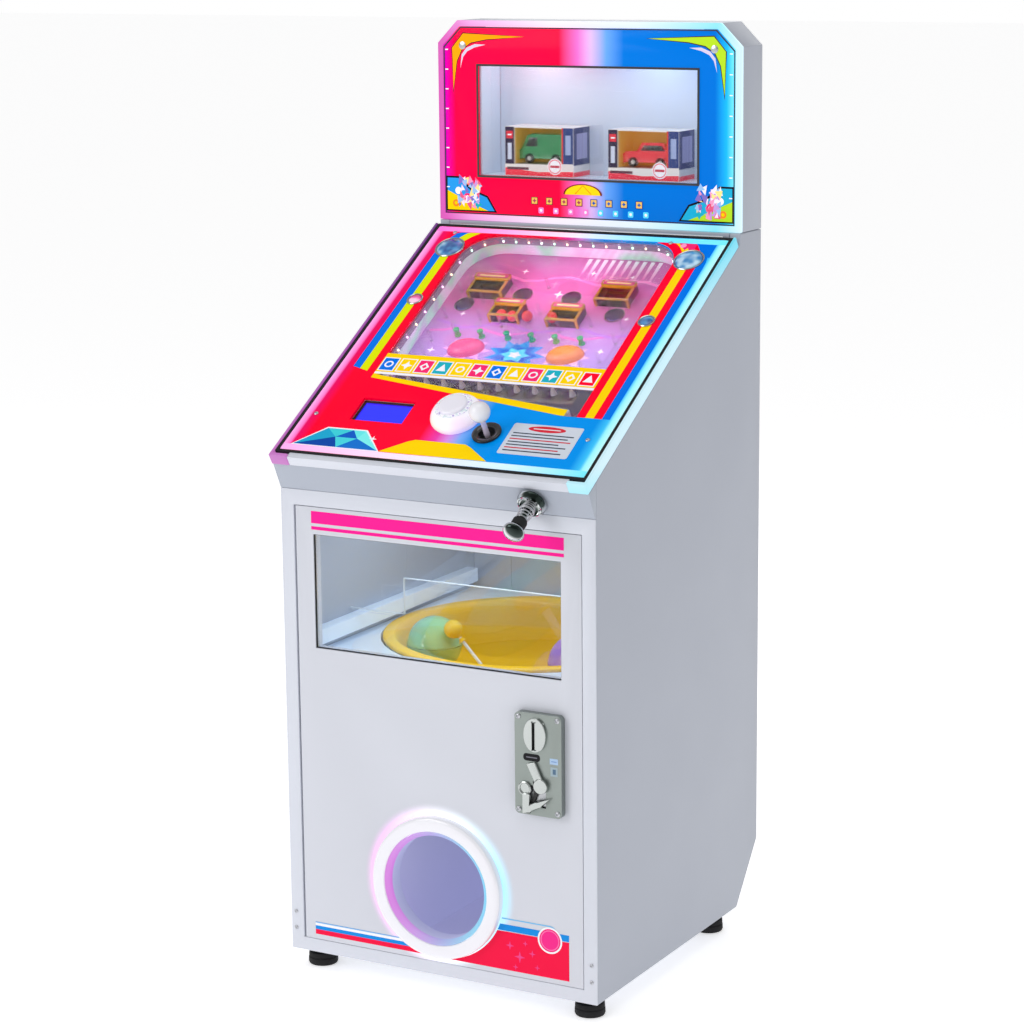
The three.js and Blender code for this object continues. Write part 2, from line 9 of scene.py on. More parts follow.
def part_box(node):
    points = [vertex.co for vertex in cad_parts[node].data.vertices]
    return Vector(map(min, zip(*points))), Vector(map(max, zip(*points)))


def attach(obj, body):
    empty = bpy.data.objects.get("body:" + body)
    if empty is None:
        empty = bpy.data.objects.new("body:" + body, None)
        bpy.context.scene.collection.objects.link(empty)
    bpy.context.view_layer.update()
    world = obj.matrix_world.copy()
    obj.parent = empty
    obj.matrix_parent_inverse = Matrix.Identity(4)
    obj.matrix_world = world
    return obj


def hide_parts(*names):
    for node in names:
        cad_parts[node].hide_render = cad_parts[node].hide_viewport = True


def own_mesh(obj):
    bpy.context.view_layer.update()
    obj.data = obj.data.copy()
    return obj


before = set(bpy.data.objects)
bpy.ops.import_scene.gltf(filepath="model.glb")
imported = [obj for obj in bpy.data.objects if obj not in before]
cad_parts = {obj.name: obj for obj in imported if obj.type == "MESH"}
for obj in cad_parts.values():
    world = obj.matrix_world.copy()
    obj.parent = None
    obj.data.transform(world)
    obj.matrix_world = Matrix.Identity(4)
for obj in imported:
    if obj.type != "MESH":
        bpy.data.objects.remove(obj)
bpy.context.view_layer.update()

# --- Camera, lights and floor ---------------------------------------------------------------------
# The machine is looked at from its right front, a little above its deck, as a product is shown.
# It stands on a plain pale floor under a soft key from the left, a fill and a top light.

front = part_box("front_frame")[0].y
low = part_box("front_frame")[0].z


def at(x, y, z):
    """A point in cabinet millimetres: across, back from the front face, up from the lower edge."""
    return Vector((x / 1000, front + y / 1000, low + z / 1000))


def srgb(red, green, blue, alpha=1.0):
    def linear(value):
        c = value / 255
        return c / 12.92 if c <= 0.04045 else ((c + 0.055) / 1.055) ** 2.4

    return (linear(red), linear(green), linear(blue), alpha)


def placed(name, data):
    """An object that holds this data, linked to the scene."""
    made = bpy.data.objects.new(name, data)
    bpy.context.scene.collection.objects.link(made)
    return made


azimuth, elevation, roll = math.radians(29.21), math.radians(11.71), math.radians(-0.57)
back = Vector((
    math.sin(azimuth) * math.cos(elevation),
    -math.cos(azimuth) * math.cos(elevation),
    math.sin(elevation),
))
camera = placed("camera", bpy.data.cameras.new("camera"))
camera.data.lens = 101.9
camera.location = at(1790.9, -3004.7, 1327.1)
camera.rotation_mode = "QUATERNION"
camera.rotation_quaternion = (-back).to_track_quat("-Z", "Y") @ Quaternion((0, 0, 1), roll)
bpy.context.scene.camera = camera
bpy.context.scene.view_settings.view_transform = "Standard"


def soft_light(name, place, aim, size, power, colour=(1, 1, 1)):
    lamp = bpy.data.lights.new(name, "AREA")
    lamp.shape = "RECTANGLE"
    lamp.size, lamp.size_y = size
    lamp.energy, lamp.color = power, colour
    holder = placed(name, lamp)
    holder.location = place
    holder.rotation_mode = "QUATERNION"
    holder.rotation_quaternion = (Vector(aim) - Vector(place)).to_track_quat("-Z", "Y")


middle = (0, 0, 0.6)
soft_light("key_light", (-1.9, -2.9, 2.2), middle, (1.8, 1.8), 36, (1.0, 0.985, 1.0))
soft_light("fill_light", (3.0, -1.4, 1.4), middle, (1.6, 2.2), 5)
soft_light("top_light", (0.2, -0.6, 3.2), middle, (2.2, 1.6), 14)
soft_light("rear_light", (-0.6, 2.8, 2.0), middle, (2.0, 2.0), 18)

# The backdrop looks white, but only about half of that light falls on the machine.
sky = bpy.data.worlds.new("studio")
sky.use_nodes = True
seen, brightness = (sky.node_tree.nodes.new("ShaderNodeLightPath"),
                    sky.node_tree.nodes.new("ShaderNodeMapRange"))
brightness.inputs["To Min"].default_value = 0.48
brightness.inputs["To Max"].default_value = 1.0
sky.node_tree.nodes["Background"].inputs["Color"].default_value = (1.0, 1.0, 1.0, 1)
sky.node_tree.links.new(seen.outputs["Is Camera Ray"], brightness.inputs["Value"])
sky.node_tree.links.new(brightness.outputs["Result"],
                        sky.node_tree.nodes["Background"].inputs["Strength"])
bpy.context.scene.world = sky

floor_material = bpy.data.materials.new("pale_floor")
floor_material.use_nodes = True
floor_shader = floor_material.node_tree.nodes["Principled BSDF"]
floor_shader.inputs["Base Color"].default_value = (0.93, 0.93, 0.935, 1)
floor_shader.inputs["Roughness"].default_value = 0.75
floor_shader.inputs["Emission Color"].default_value = (1, 1, 1, 1)
floor_shader.inputs["Emission Strength"].default_value = 0.52
floor_mesh = bpy.data.meshes.new("floor")
floor_mesh.from_pydata([(-30, -30, 0), (30, -30, 0), (30, 30, 0), (-30, 30, 0)], [], [(0, 1, 2, 3)])
floor_mesh.materials.append(floor_material)
floor = placed("floor", floor_mesh)

# --- Side panels, base, back and top boards -------------------------------------------------------
# Laminated boards with lightly rounded edges; the sides give the machine its sloping profile and
# its cut-off lower back. They are screwed together from inside, and carry everything else.


def add_sockets(group, given, out):
    """Declares a node group's inputs and outputs by name and kind."""
    for direction, wanted in (("INPUT", given), ("OUTPUT", out)):
        for name, kind in wanted.items():
            group.interface.new_socket(name, in_out=direction, socket_type="NodeSocket" + kind)


def join(links, *joints):
    """Links nodes: each joint is a node, its output, the next node and its input."""
    for node, output, after, entry in joints:
        links.new(node.outputs[output], after.inputs[entry])


def surface_group():
    """Slight unevenness that every finish shares: cloudy roughness and a fine orange peel."""
    group = bpy.data.node_groups.new("surface_skin", "ShaderNodeTree")
    add_sockets(group, {"Roughness": "Float", "Spread": "Float", "Grain": "Float", "Relief": "Float"},
                {"Roughness": "Float", "Normal": "Vector", "Cloud": "Float"})
    nodes, links = group.nodes, group.links
    given, out = nodes.new("NodeGroupInput"), nodes.new("NodeGroupOutput")
    place = nodes.new("ShaderNodeTexCoord")
    cloud, grain = nodes.new("ShaderNodeTexNoise"), nodes.new("ShaderNodeTexNoise")
    cloud.inputs["Scale"].default_value = 9
    cloud.inputs["Detail"].default_value = 4
    grain.inputs["Detail"].default_value = 3
    join(links, (place, "Object", cloud, "Vector"), (place, "Object", grain, "Vector"),
         (given, "Grain", grain, "Scale"))
    centred, spread, total = (nodes.new("ShaderNodeMath") for _ in range(3))
    centred.operation, spread.operation, total.operation = "SUBTRACT", "MULTIPLY", "ADD"
    centred.inputs[1].default_value = 0.5
    total.use_clamp = True
    join(links, (cloud, "Fac", centred, 0), (centred, 0, spread, 0), (given, "Spread", spread, 1),
         (spread, 0, total, 0), (given, "Roughness", total, 1), (total, 0, out, "Roughness"),
         (cloud, "Fac", out, "Cloud"))
    bump = nodes.new("ShaderNodeBump")
    bump.inputs["Distance"].default_value = 0.0004
    join(links, (given, "Relief", bump, "Strength"), (grain, "Fac", bump, "Height"),
         (bump, "Normal", out, "Normal"))
    return group


surface_skin = surface_group()


def skinned(name, rough, spread, grain, relief):
    """A new Principled material whose roughness and normal come from the shared skin."""
    material = bpy.data.materials.new(name)
    material.use_nodes = True
    nodes, links = material.node_tree.nodes, material.node_tree.links
    shader, skin = nodes["Principled BSDF"], nodes.new("ShaderNodeGroup")
    skin.node_tree = surface_skin
    for key, value in (("Roughness", rough), ("Spread", spread), ("Grain", grain), ("Relief", relief)):
        skin.inputs[key].default_value = value
    join(links, (skin, "Roughness", shader, "Roughness"), (skin, "Normal", shader, "Normal"))
    return material, shader, skin


def finish(name, colour, rough, metal=0.0, grain=900, relief=0.15, spread=0.12, shade=0.04,
           coat=0.0, glow=None, glow_strength=1.0, specular=0.5):
    """A Principled material over the shared skin; shade is how much its colour clouds over."""
    material, shader, skin = skinned(name, rough, spread, grain, relief)
    mix = material.node_tree.nodes.new("ShaderNodeMix")
    mix.data_type = "RGBA"
    mix.inputs["A"].default_value = colour
    mix.inputs["B"].default_value = tuple(c * (1 - 2 * shade) for c in colour[:3]) + (1,)
    join(material.node_tree.links, (skin, "Cloud", mix, "Factor"), (mix, "Result", shader, "Base Color"))
    shader.inputs["Metallic"].default_value = metal
    shader.inputs["Specular IOR Level"].default_value = specular
    if coat:
        shader.inputs["Coat Weight"].default_value = coat
        shader.inputs["Coat Roughness"].default_value = 0.04
    if glow:
        shader.inputs["Emission Color"].default_value = glow
        shader.inputs["Emission Strength"].default_value = glow_strength
    return material


def seated(name, mesh, body, replaces, smooth):
    """A finished mesh as a piece that rides on its body."""
    mesh.polygons.foreach_set("use_smooth", [True] * len(mesh.polygons))
    mesh.set_sharp_from_angle(angle=math.radians(smooth))
    made = placed(name, mesh)
    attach(made, body)
    if replaces:
        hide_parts(*replaces)
    return made


def settle(name, bm, material, body, replaces=(), bevel=0.0, steps=2, smooth=32):
    """Turns a closed bmesh into a finished piece: edges broken, shaded, riding on its body."""
    if bevel:
        bm.normal_update()
        sharp = [e for e in bm.edges if e.is_manifold and e.calc_face_angle() > math.radians(25)]
        bmesh.ops.bevel(bm, geom=sharp, offset=bevel / 1000, segments=steps, profile=0.6,
                        affect="EDGES", clamp_overlap=True)
    bmesh.ops.recalc_face_normals(bm, faces=bm.faces)
    mesh = bpy.data.meshes.new(name)
    bm.to_mesh(mesh)
    bm.free()
    mesh.materials.append(material)
    return seated(name, mesh, body, replaces, smooth)


def merged_copy(node):
    """The CAD piece's mesh with its doubled points and flat edges merged."""
    bm = bmesh.new()
    bm.from_mesh(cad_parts[node].data)
    bmesh.ops.remove_doubles(bm, verts=bm.verts, dist=2e-6)
    bmesh.ops.dissolve_limit(bm, angle_limit=math.radians(0.6), verts=bm.verts, edges=bm.edges)
    return bm


def softened(node, material, body, bevel, steps=2):
    """The CAD piece with its edges broken, under the name of what it is."""
    return settle(node + "_finished", merged_copy(node), material, body, (node,), bevel, steps)


# The boards are white laminate; their grey colour is painted shade, as on the machine's shaded sides.
laminate = finish("white_laminate_painted_shade", srgb(177, 182, 194), 0.42, grain=1400, relief=0.1, shade=0.015)
for node in ("left_side_panel", "right_side_panel"):
    softened(node, laminate, "cabinet", bevel=1.6, steps=3)
for node in ("base_board", "kick_panel", "top_board", "back_frame"):
    softened(node, laminate, "cabinet", bevel=0.6)

# --- Front frame and apron ------------------------------------------------------------------------
# A folded sheet-steel frame round the door, powder coated in a cool white, and the slanting nose
# rail above it. Four countersunk screws hold the frame's lower corners to the base.

lacquer = finish("white_powder_coat", srgb(213, 217, 227), 0.34, grain=1100, relief=0.22, shade=0.012,
                 coat=0.15)
softened("front_frame", lacquer, "cabinet", bevel=0.7)
# The nose rail has the frame's white powder coat; its darker grey is painted shade, as the rail faces
# down.
apron_coat_painted_shade = finish("apron_powder_coat_painted_shade", srgb(170, 177, 190), 0.36, grain=1100, relief=0.22, shade=0.015)
softened("apron", apron_coat_painted_shade, "cabinet", bevel=1.2, steps=3)


def on_door(a, b, h=0.0):
    """A point on the front face: a across, b up, h out towards the player."""
    return at(a, -h, b)


def copies_group():
    """Places a copy of a template at every point, turned one way, with a random spin of its own."""
    tree = bpy.data.node_groups.new("place_copies", "GeometryNodeTree")
    add_sockets(tree, {"Geometry": "Geometry", "Template": "Object", "Turn": "Vector", "Size": "Float",
                       "Spin": "Float", "Finish": "Material"}, {"Geometry": "Geometry"})
    nodes, links = tree.nodes, tree.links
    given, out = nodes.new("NodeGroupInput"), nodes.new("NodeGroupOutput")
    points, template, place, spin, solid, paint, chance, angle = (nodes.new(kind) for kind in (
        "GeometryNodeMeshToPoints", "GeometryNodeObjectInfo", "GeometryNodeInstanceOnPoints",
        "GeometryNodeRotateInstances", "GeometryNodeRealizeInstances", "GeometryNodeSetMaterial",
        "FunctionNodeRandomValue", "ShaderNodeCombineXYZ",
    ))
    chance.inputs["Seed"].default_value = 5
    join(links, (given, "Geometry", points, "Mesh"), (given, "Template", template, "Object"),
         (points, "Points", place, "Points"), (template, "Geometry", place, "Instance"),
         (given, "Turn", place, "Rotation"), (given, "Size", place, "Scale"), (given, "Spin", chance, 3),
         (chance, 1, angle, "Z"), (place, "Instances", spin, "Instances"),
         (angle, "Vector", spin, "Rotation"), (spin, "Instances", solid, "Geometry"),
         (solid, "Geometry", paint, "Geometry"), (given, "Finish", paint, "Material"),
         (paint, "Geometry", out, "Geometry"))
    return tree


place_copies = copies_group()


def set_inputs(modifier, **values):
    """Sets a modifier's inputs by their names."""
    for item in modifier.node_group.interface.items_tree:
        if item.in_out == "INPUT" and item.name in values:
            modifier[item.identifier] = values[item.name]


def baked(name, modified, body, replaces=(), smooth=32):
    """The modifier's result as a plain mesh that rides on its body."""
    graph = bpy.context.evaluated_depsgraph_get()
    mesh = bpy.data.meshes.new_from_object(modified.evaluated_get(graph))
    mesh.name = name
    bpy.data.objects.remove(modified)
    return seated(name, mesh, body, replaces, smooth)


def repeated(name, template, points, turn, material, body, size=1.0, spin=0.0):
    """Copies of a template mesh at these points, made by Geometry Nodes and baked."""
    mesh = bpy.data.meshes.new(name + "_points")
    mesh.from_pydata([tuple(p) for p in points], [], [])
    holder, source = placed(name + "_points", mesh), placed(name + "_template", template)
    modifier = holder.modifiers.new("copies", "NODES")
    modifier.node_group = place_copies
    set_inputs(modifier, Template=source, Turn=turn, Size=size, Spin=spin, Finish=material)
    bpy.context.view_layer.update()
    baked(name, holder, body)
    bpy.data.objects.remove(source)


def lathe(bm, profile, centre, place, steps):
    """A closed turned body: the profile is (radius, height), loop or axis to axis."""
    ring_of = []
    for radius, height in profile:
        if radius < 1e-6:
            ring_of.append([bm.verts.new(place(centre[0], centre[1], height))])
            continue
        ring_of.append([
            bm.verts.new(place(
                centre[0] + radius * math.cos(2 * math.pi * k / steps),
                centre[1] + radius * math.sin(2 * math.pi * k / steps),
                height,
            ))
            for k in range(steps)
        ])
    closed = profile[0][0] > 1e-6
    for i in range(len(profile) if closed else len(profile) - 1):
        a, b = ring_of[i], ring_of[(i + 1) % len(profile)]
        for k in range(steps):
            n = (k + 1) % steps
            corners = [a[k % len(a)], a[n % len(a)], b[n % len(b)], b[k % len(b)]]
            bm.faces.new(list(dict.fromkeys(corners)))


def template_mesh(name, bm):
    """A plain mesh, to be copied, out of a closed bmesh."""
    bmesh.ops.recalc_face_normals(bm, faces=bm.faces)
    mesh = bpy.data.meshes.new(name)
    bm.to_mesh(mesh)
    bm.free()
    return mesh


def screw_head(radius):
    """A pan-head screw with a cross recess, its axis on Z and its seat at zero."""
    bm = bmesh.new()
    recess, depth = radius * 0.5, radius * 0.3
    profile = [(0, 0), (radius, 0), (radius, radius * 0.25), (radius * 0.82, radius * 0.48),
               (recess, radius * 0.6), (recess * 0.75, radius * 0.6 - depth), (0, radius * 0.6 - depth)]
    lathe(bm, profile, (0, 0), lambda a, b, h: Vector((a, b, h)) / 1000, 16)
    for turn in (0, math.pi / 2):
        bar = bmesh.ops.create_cube(bm, size=1)["verts"]
        bmesh.ops.scale(bm, vec=Vector((recess * 1.7, radius * 0.16, depth * 0.5)) / 1000, verts=bar)
        bmesh.ops.rotate(bm, matrix=Matrix.Rotation(turn, 3, "Z"), verts=bar)
        bmesh.ops.translate(bm, vec=Vector((0, 0, radius * 0.36)) / 1000, verts=bar)
    return template_mesh("screw_head", bm)


def turned(name, profile, centre, place, steps, material, body, replaces=(), bevel=0.0,
           smooth=32):
    bm = bmesh.new()
    lathe(bm, profile, centre, place, steps)
    return settle(name, bm, material, body, replaces, bevel, smooth=smooth)


zinc = finish("zinc_plating", srgb(196, 198, 203), 0.3, metal=1, grain=600, relief=0.1)
facing_player = (math.pi / 2, 0, 0)
corner_screws = [on_door(side * 217.5, height) for side in (-1, 1) for height in (29, 51)]
repeated("frame_screws", screw_head(2.6), corner_screws, facing_player, zinc, "cabinet",
         spin=math.pi)

# --- Feet -----------------------------------------------------------------------------------------
# Four round feet of black rubber, moulded with a ribbed skirt. Each is pressed on a short steel
# stud under the base board.

rubber = finish("black_rubber", srgb(26, 26, 28), 0.72, grain=500, relief=0.35, specular=0.3)
foot_profile = [(0, 0), (16.2, 0), (18.4, 0.8), (19.5, 3), (19.3, 9), (18.2, 9.8), (18.2, 11.4),
                (19.0, 12.2), (18.6, 16.5), (14.5, 17.4), (14.2, 25.7), (0, 25.7)]
for node in ("foot_front_left", "foot_front_right", "foot_rear_left", "foot_rear_right"):
    corner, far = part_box(node)
    centre = (corner + far) / 2
    turned(node + "_rubber", foot_profile, (centre.x * 1000, centre.y * 1000),
           lambda a, b, h, z=corner.z: Vector((a / 1000, b / 1000, z + h / 1000)), 40, rubber, "cabinet",
           (node,))

# --- Front door leaf and its printed bands --------------------------------------------------------
# A rigid leaf with a rolled hinge edge and openings for the window, the coin unit and the prize
# exit. Vinyl bands are stuck across its top and bottom. The glow of the exit ring's lamps on the
# paint round the ring is painted into the door's coat.


exit_height = 119  # middle of the round prize exit


def set_stops(ramp, stops):
    """Gives a colour ramp these colours at rising positions."""
    points = ramp.color_ramp.elements
    for point, (position, colour) in ((points[0], stops[0]), (points[1], stops[-1])):
        point.position, point.color = position, colour
    for position, colour in stops[1:-1]:
        points.new(position).color = colour


def door_coat_painted_glow():
    """White powder coat with a painted glow round the exit ring: pink at its left, cyan at its right."""
    material = finish("door_powder_coat_painted_glow", srgb(209, 212, 221), 0.34, grain=1100, relief=0.22,
                      shade=0.012, coat=0.15)
    nodes, links = material.node_tree.nodes, material.node_tree.links
    shader = nodes["Principled BSDF"]
    place = nodes.new("ShaderNodeTexCoord")
    centre = nodes.new("ShaderNodeMapping")
    ring = at(0, 0, exit_height)
    centre.inputs["Location"].default_value = (-ring.x, 0, -ring.z)
    centre.inputs["Scale"].default_value = (1, 0, 1)
    span = nodes.new("ShaderNodeVectorMath")
    span.operation = "LENGTH"
    fade = nodes.new("ShaderNodeMapRange")
    fade.interpolation_type = "SMOOTHERSTEP"
    for key, value in (("From Min", 0.112), ("From Max", 0.090), ("To Min", 0.0), ("To Max", 1.0)):
        fade.inputs[key].default_value = value
    parts = nodes.new("ShaderNodeSeparateXYZ")
    across = nodes.new("ShaderNodeMapRange")
    across.inputs["From Min"].default_value = -0.1
    across.inputs["From Max"].default_value = 0.1
    hue = nodes.new("ShaderNodeValToRGB")
    set_stops(hue, [(0.0, srgb(255, 70, 225)), (0.12, srgb(250, 120, 240)), (0.42, srgb(255, 240, 255)),
                    (0.72, srgb(225, 250, 255)), (1.0, srgb(40, 215, 255))])
    glow = nodes.new("ShaderNodeMix")
    glow.data_type = "RGBA"
    glow.inputs["A"].default_value = (0, 0, 0, 1)
    join(links, (place, "Object", centre, "Vector"), (centre, "Vector", span, 0),
         (span, "Value", fade, "Value"), (centre, "Vector", parts, "Vector"),
         (parts, "X", across, "Value"), (across, "Result", hue, "Fac"), (fade, "Result", glow, "Factor"),
         (hue, "Color", glow, "B"), (glow, "Result", shader, "Emission Color"))
    shader.inputs["Emission Strength"].default_value = 0.75
    return material


softened("front_door", door_coat_painted_glow(), "front_door", bevel=0.7)


def ink_material(name, rough, coat, specular, glow_strength=0.0):
    """Printed colour: the base colour is the sheet's own ink attribute."""
    material = finish(name, (1, 1, 1, 1), rough, grain=700, relief=0.06, coat=coat, specular=specular)
    nodes, links = material.node_tree.nodes, material.node_tree.links
    shader = nodes["Principled BSDF"]
    ink = nodes.new("ShaderNodeAttribute")
    ink.attribute_name = "ink"
    links.new(ink.outputs["Color"], shader.inputs["Base Color"])
    if glow_strength:
        links.new(ink.outputs["Color"], shader.inputs["Emission Color"])
        shader.inputs["Emission Strength"].default_value = glow_strength
    return material


def ink_sheet(name, shapes, place, base, material, body, step, thick=0.05):
    """Printed shapes, each a thin plate over the last: (colour, outline) or (colours, outline)."""
    bm = bmesh.new()
    ink = bm.verts.layers.float_color.new("ink")
    for i, (colour, outline) in enumerate(shapes):
        colours = colour if isinstance(colour, list) else [colour] * len(outline)
        low_face, high_face = [], []
        for (a, b), tone in zip(outline, colours):
            for height, side in ((base + i * step, low_face), (base + i * step + thick, high_face)):
                vertex = bm.verts.new(place(a, b, height))
                vertex[ink] = tone
                side.append(vertex)
        bm.faces.new(low_face)
        bm.faces.new(high_face)
        for k in range(len(outline)):
            n = (k + 1) % len(outline)
            bm.faces.new((low_face[k], low_face[n], high_face[n], high_face[k]))
    return settle(name, bm, material, body, smooth=10)


def rect(a0, a1, b0, b1):
    return [(a0, b0), (a1, b0), (a1, b1), (a0, b1)]


def arc(a, b, radius, start, end, steps):
    """Points of a circular arc, angles in degrees."""
    turns = [math.radians(start + (end - start) * k / steps) for k in range(steps + 1)]
    return [(a + radius * math.cos(t), b + radius * math.sin(t)) for t in turns]


def disc(a, b, radius, steps=28):
    return arc(a, b, radius, 0, 360, steps)[:-1]


def rounded(a0, a1, b0, b1, radius):
    left, right, low_edge, high_edge = a0 + radius, a1 - radius, b0 + radius, b1 - radius
    return (arc(right, low_edge, radius, -90, 0, 5) + arc(right, high_edge, radius, 0, 90, 5)
            + arc(left, high_edge, radius, 90, 180, 5) + arc(left, low_edge, radius, 180, 270, 5))


vinyl = ink_material("printed_vinyl", rough=0.35, coat=0.0, specular=0.15)
hot_pink, signal_red = srgb(255, 22, 150), srgb(246, 0, 66)
sky_blue, pure_white = srgb(10, 140, 225), srgb(245, 246, 250)
ring_reach = 94.5  # bands stop short of the exit ring


def on_ring(b, side):
    return side * math.sqrt(ring_reach ** 2 - (b - exit_height) ** 2)


def band_left(b0, b1):
    inner = [(on_ring(b0 + (b1 - b0) * k / 6, -1), b0 + (b1 - b0) * k / 6) for k in range(7)]
    return [(-188, b1), (-188, b0)] + inner


def band_right(b0, b1, end=186):
    inner = [(on_ring(b1 + (b0 - b1) * k / 10, 1), b1 + (b0 - b1) * k / 10) for k in range(11)]
    return inner + [(end, b0), (end, b1)]


thin_arc = arc(160, 85, 8, 90, 0, 6)
bands = [
    (hot_pink, rect(-180, 182, 572.6, 588.3)),
    (hot_pink, rect(-180, 182, 564.3, 568.7)),
    (signal_red, band_left(25, 31.5)),
    (sky_blue, band_left(31.5, 36.6)),
    (pure_white, band_left(36.6, 40.2)),
    (srgb(120, 175, 230), band_left(40.2, 41.8)),
    (signal_red, band_right(24.8, 75.5)),
    (sky_blue, band_right(76.4, 84.8)),
    (srgb(120, 190, 235), band_right(91.6, 93.2, 160)),
    (srgb(120, 190, 235), thin_arc + [(a - 1.2, b - 1.2) for a, b in reversed(thin_arc)]),
    (pure_white, disc(159, 74, 17.3)),
    (srgb(240, 30, 120), disc(159, 74, 15)),
    (srgb(255, 120, 180), disc(159, 74, 13.3)),
    (srgb(246, 40, 140), disc(159, 74, 12)),
]


def sparkle(a, b, size, waist=0.28):
    """A four-pointed star."""
    points = []
    for k in range(8):
        reach = size if k % 2 == 0 else size * waist
        turn = math.radians(45 * k + 90)
        points.append((a + reach * math.cos(turn), b + reach * math.sin(turn)))
    return points


for a, b, size in ((102, 58, 6), (116, 45, 8), (124, 64, 4), (134, 52, 5), (141, 35, 4), (110, 31, 4)):
    bands.append((srgb(240, 70, 140), sparkle(a, b, size)))
ink_sheet("door_bands", bands, on_door, 0.02, vinyl, "front_door", step=0.02)

steel = finish("brushed_steel", srgb(188, 190, 194), 0.34, metal=1, grain=420, relief=0.12)
for node in ("door_hinge_pin", "service_hinge_pin", "deck_hinge_pin"):
    softened(node, steel, "cabinet", bevel=0.3)

# --- Door window ----------------------------------------------------------------------------------
# A clear 4 mm acrylic pane, held from inside by a black rubber gasket whose lip frames the opening.
# It shows the prizes on their turntable.


def clear_material(name, tint, alpha, density=1.46):
    """A clear sheet; density is its index of refraction."""
    material, shader, _ = skinned(name, 0.0, 0.01, 300, 0.0)
    for key, value in (("Base Color", tint), ("Transmission Weight", 1), ("IOR", density),
                       ("Alpha", alpha)):
        shader.inputs[key].default_value = value
    return material


glass = clear_material("clear_glass", (0.97, 0.99, 1.0, 1), 0.12)
thin_clear = clear_material("thin_clear_sheet", (0.97, 0.99, 1.0, 1), 0.1, 1.2)
acrylic = clear_material("clear_acrylic", (0.95, 0.98, 1.0, 1), 0.4)
softened("door_window", glass, "front_door", bevel=0.3)


def frame_ring(name, outer, inner, base, top, place, material, body, slot, bevel=0.3, replaces=()):
    """A closed frame between two outlines that have the same number of points."""
    bm = bmesh.new()
    loops = [[bm.verts.new(place(a, b, h)) for a, b in outline]
             for outline, h in ((outer, base), (outer, top), (inner, top), (inner, base))]
    for i in range(4):
        first, second = loops[i], loops[(i + 1) % 4]
        for k in range(len(first)):
            n = (k + 1) % len(first)
            bm.faces.new((first[k], first[n], second[n], second[k]))
    return settle(name, bm, material, body, replaces, bevel)


black_plastic = finish("black_plastic", srgb(30, 31, 34), 0.45, grain=800, relief=0.25)
window = (177.3, 410.2, 558.2)
frame_ring("window_gasket", rect(-window[0], window[0], window[1], window[2]),
           rect(0.7 - window[0], window[0] - 0.7, window[1] + 0.9, window[2] - 0.5), -4.6, -1.2, on_door,
           black_plastic, "front_door", "rubber")

# --- Prize exit ring ------------------------------------------------------------------------------
# A glossy white moulded ring proud of the door, and inside it a translucent light tube whose lamps
# run from pink at the left through white to cyan at the right.

gloss_white = finish("gloss_white_plastic", srgb(240, 240, 246), 0.18, grain=300, relief=0.04, coat=0.5,
                     shade=0.01)


def by_depth(a, b, y):
    """A point by its depth behind the front face."""
    return at(a, y, b)


exit_ring_profile = [(74.7, -0.3), (74.7, -10.6), (75.6, -11.7), (77, -12), (88, -12), (90.6, -11.3),
                     (92.4, -9.6), (93, -7), (93, -0.3)]
turned("exit_ring_moulding", exit_ring_profile, (0, exit_height), by_depth, 96, gloss_white, "front_door",
       ("exit_ring",))


def along(material, axis, start, end):
    """Runs from 0 to 1 between two places on one axis of the machine, in metres."""
    nodes, links = material.node_tree.nodes, material.node_tree.links
    place, parts, span = (nodes.new("ShaderNode" + kind)
                          for kind in ("TexCoord", "SeparateXYZ", "MapRange"))
    span.inputs["From Min"].default_value, span.inputs["From Max"].default_value = start, end
    join(links, (place, "Object", parts, "Vector"), (parts, axis, span, "Value"))
    return span.outputs["Result"]


def toned(material, value, stops, glow=0.0, base=True):
    """Colours a material by a value between 0 and 1, and lets it glow with that colour."""
    nodes, links = material.node_tree.nodes, material.node_tree.links
    shader, ramp = nodes["Principled BSDF"], nodes.new("ShaderNodeValToRGB")
    set_stops(ramp, stops)
    links.new(value, ramp.inputs["Fac"])
    if glow:
        links.new(ramp.outputs["Color"], shader.inputs["Emission Color"])
        shader.inputs["Emission Strength"].default_value = glow
    if base:
        links.new(ramp.outputs["Color"], shader.inputs["Base Color"])
    return material


def ramped(name, stops, axis="X", rough=0.3, strength=1.0, base=None, coat=0.0, specular=0.5):
    """A finish coloured along one axis of the machine, in metres; it glows with that colour."""
    material = finish(name, base or (0.8, 0.8, 0.8, 1), rough, shade=0.0, coat=coat, specular=specular)
    start, end = stops[0][0], stops[-1][0]
    shares = [((position - start) / (end - start), colour) for position, colour in stops]
    return toned(material, along(material, axis, start, end), shares, strength, base is None)


tube_light = ramped("lit_tube", [
    (-0.075, srgb(225, 90, 220)), (-0.042, srgb(215, 130, 230)), (0.0, srgb(170, 165, 225)),
    (0.045, srgb(130, 215, 240)), (0.075, srgb(90, 220, 250)),
], rough=0.35, strength=0.7, base=srgb(120, 116, 140))
tube_profile = [(68, -2.2), (74.2, -2.2), (74.2, -10.4), (73.4, -10.8), (71.6, -9.4), (69, -6.4),
                (68, -4)]
turned("exit_light_tube", tube_profile, (0, exit_height), by_depth, 96, tube_light, "front_door",
       ("ring_light",))
# The chute's pale lilac paint glows: painted light that brightens the pocket and the exit sleeve.
chute_paint_painted_glow = finish("chute_paint_painted_glow", srgb(182, 184, 208), 0.5, grain=900, relief=0.2,
                     glow=srgb(148, 150, 188), glow_strength=0.46)
turned("exit_sleeve", [(68, 17), (74.2, 17), (74.2, -2.1), (68, -2.1)], (0, exit_height), by_depth, 96,
       chute_paint_painted_glow, "front_door", bevel=0.3)

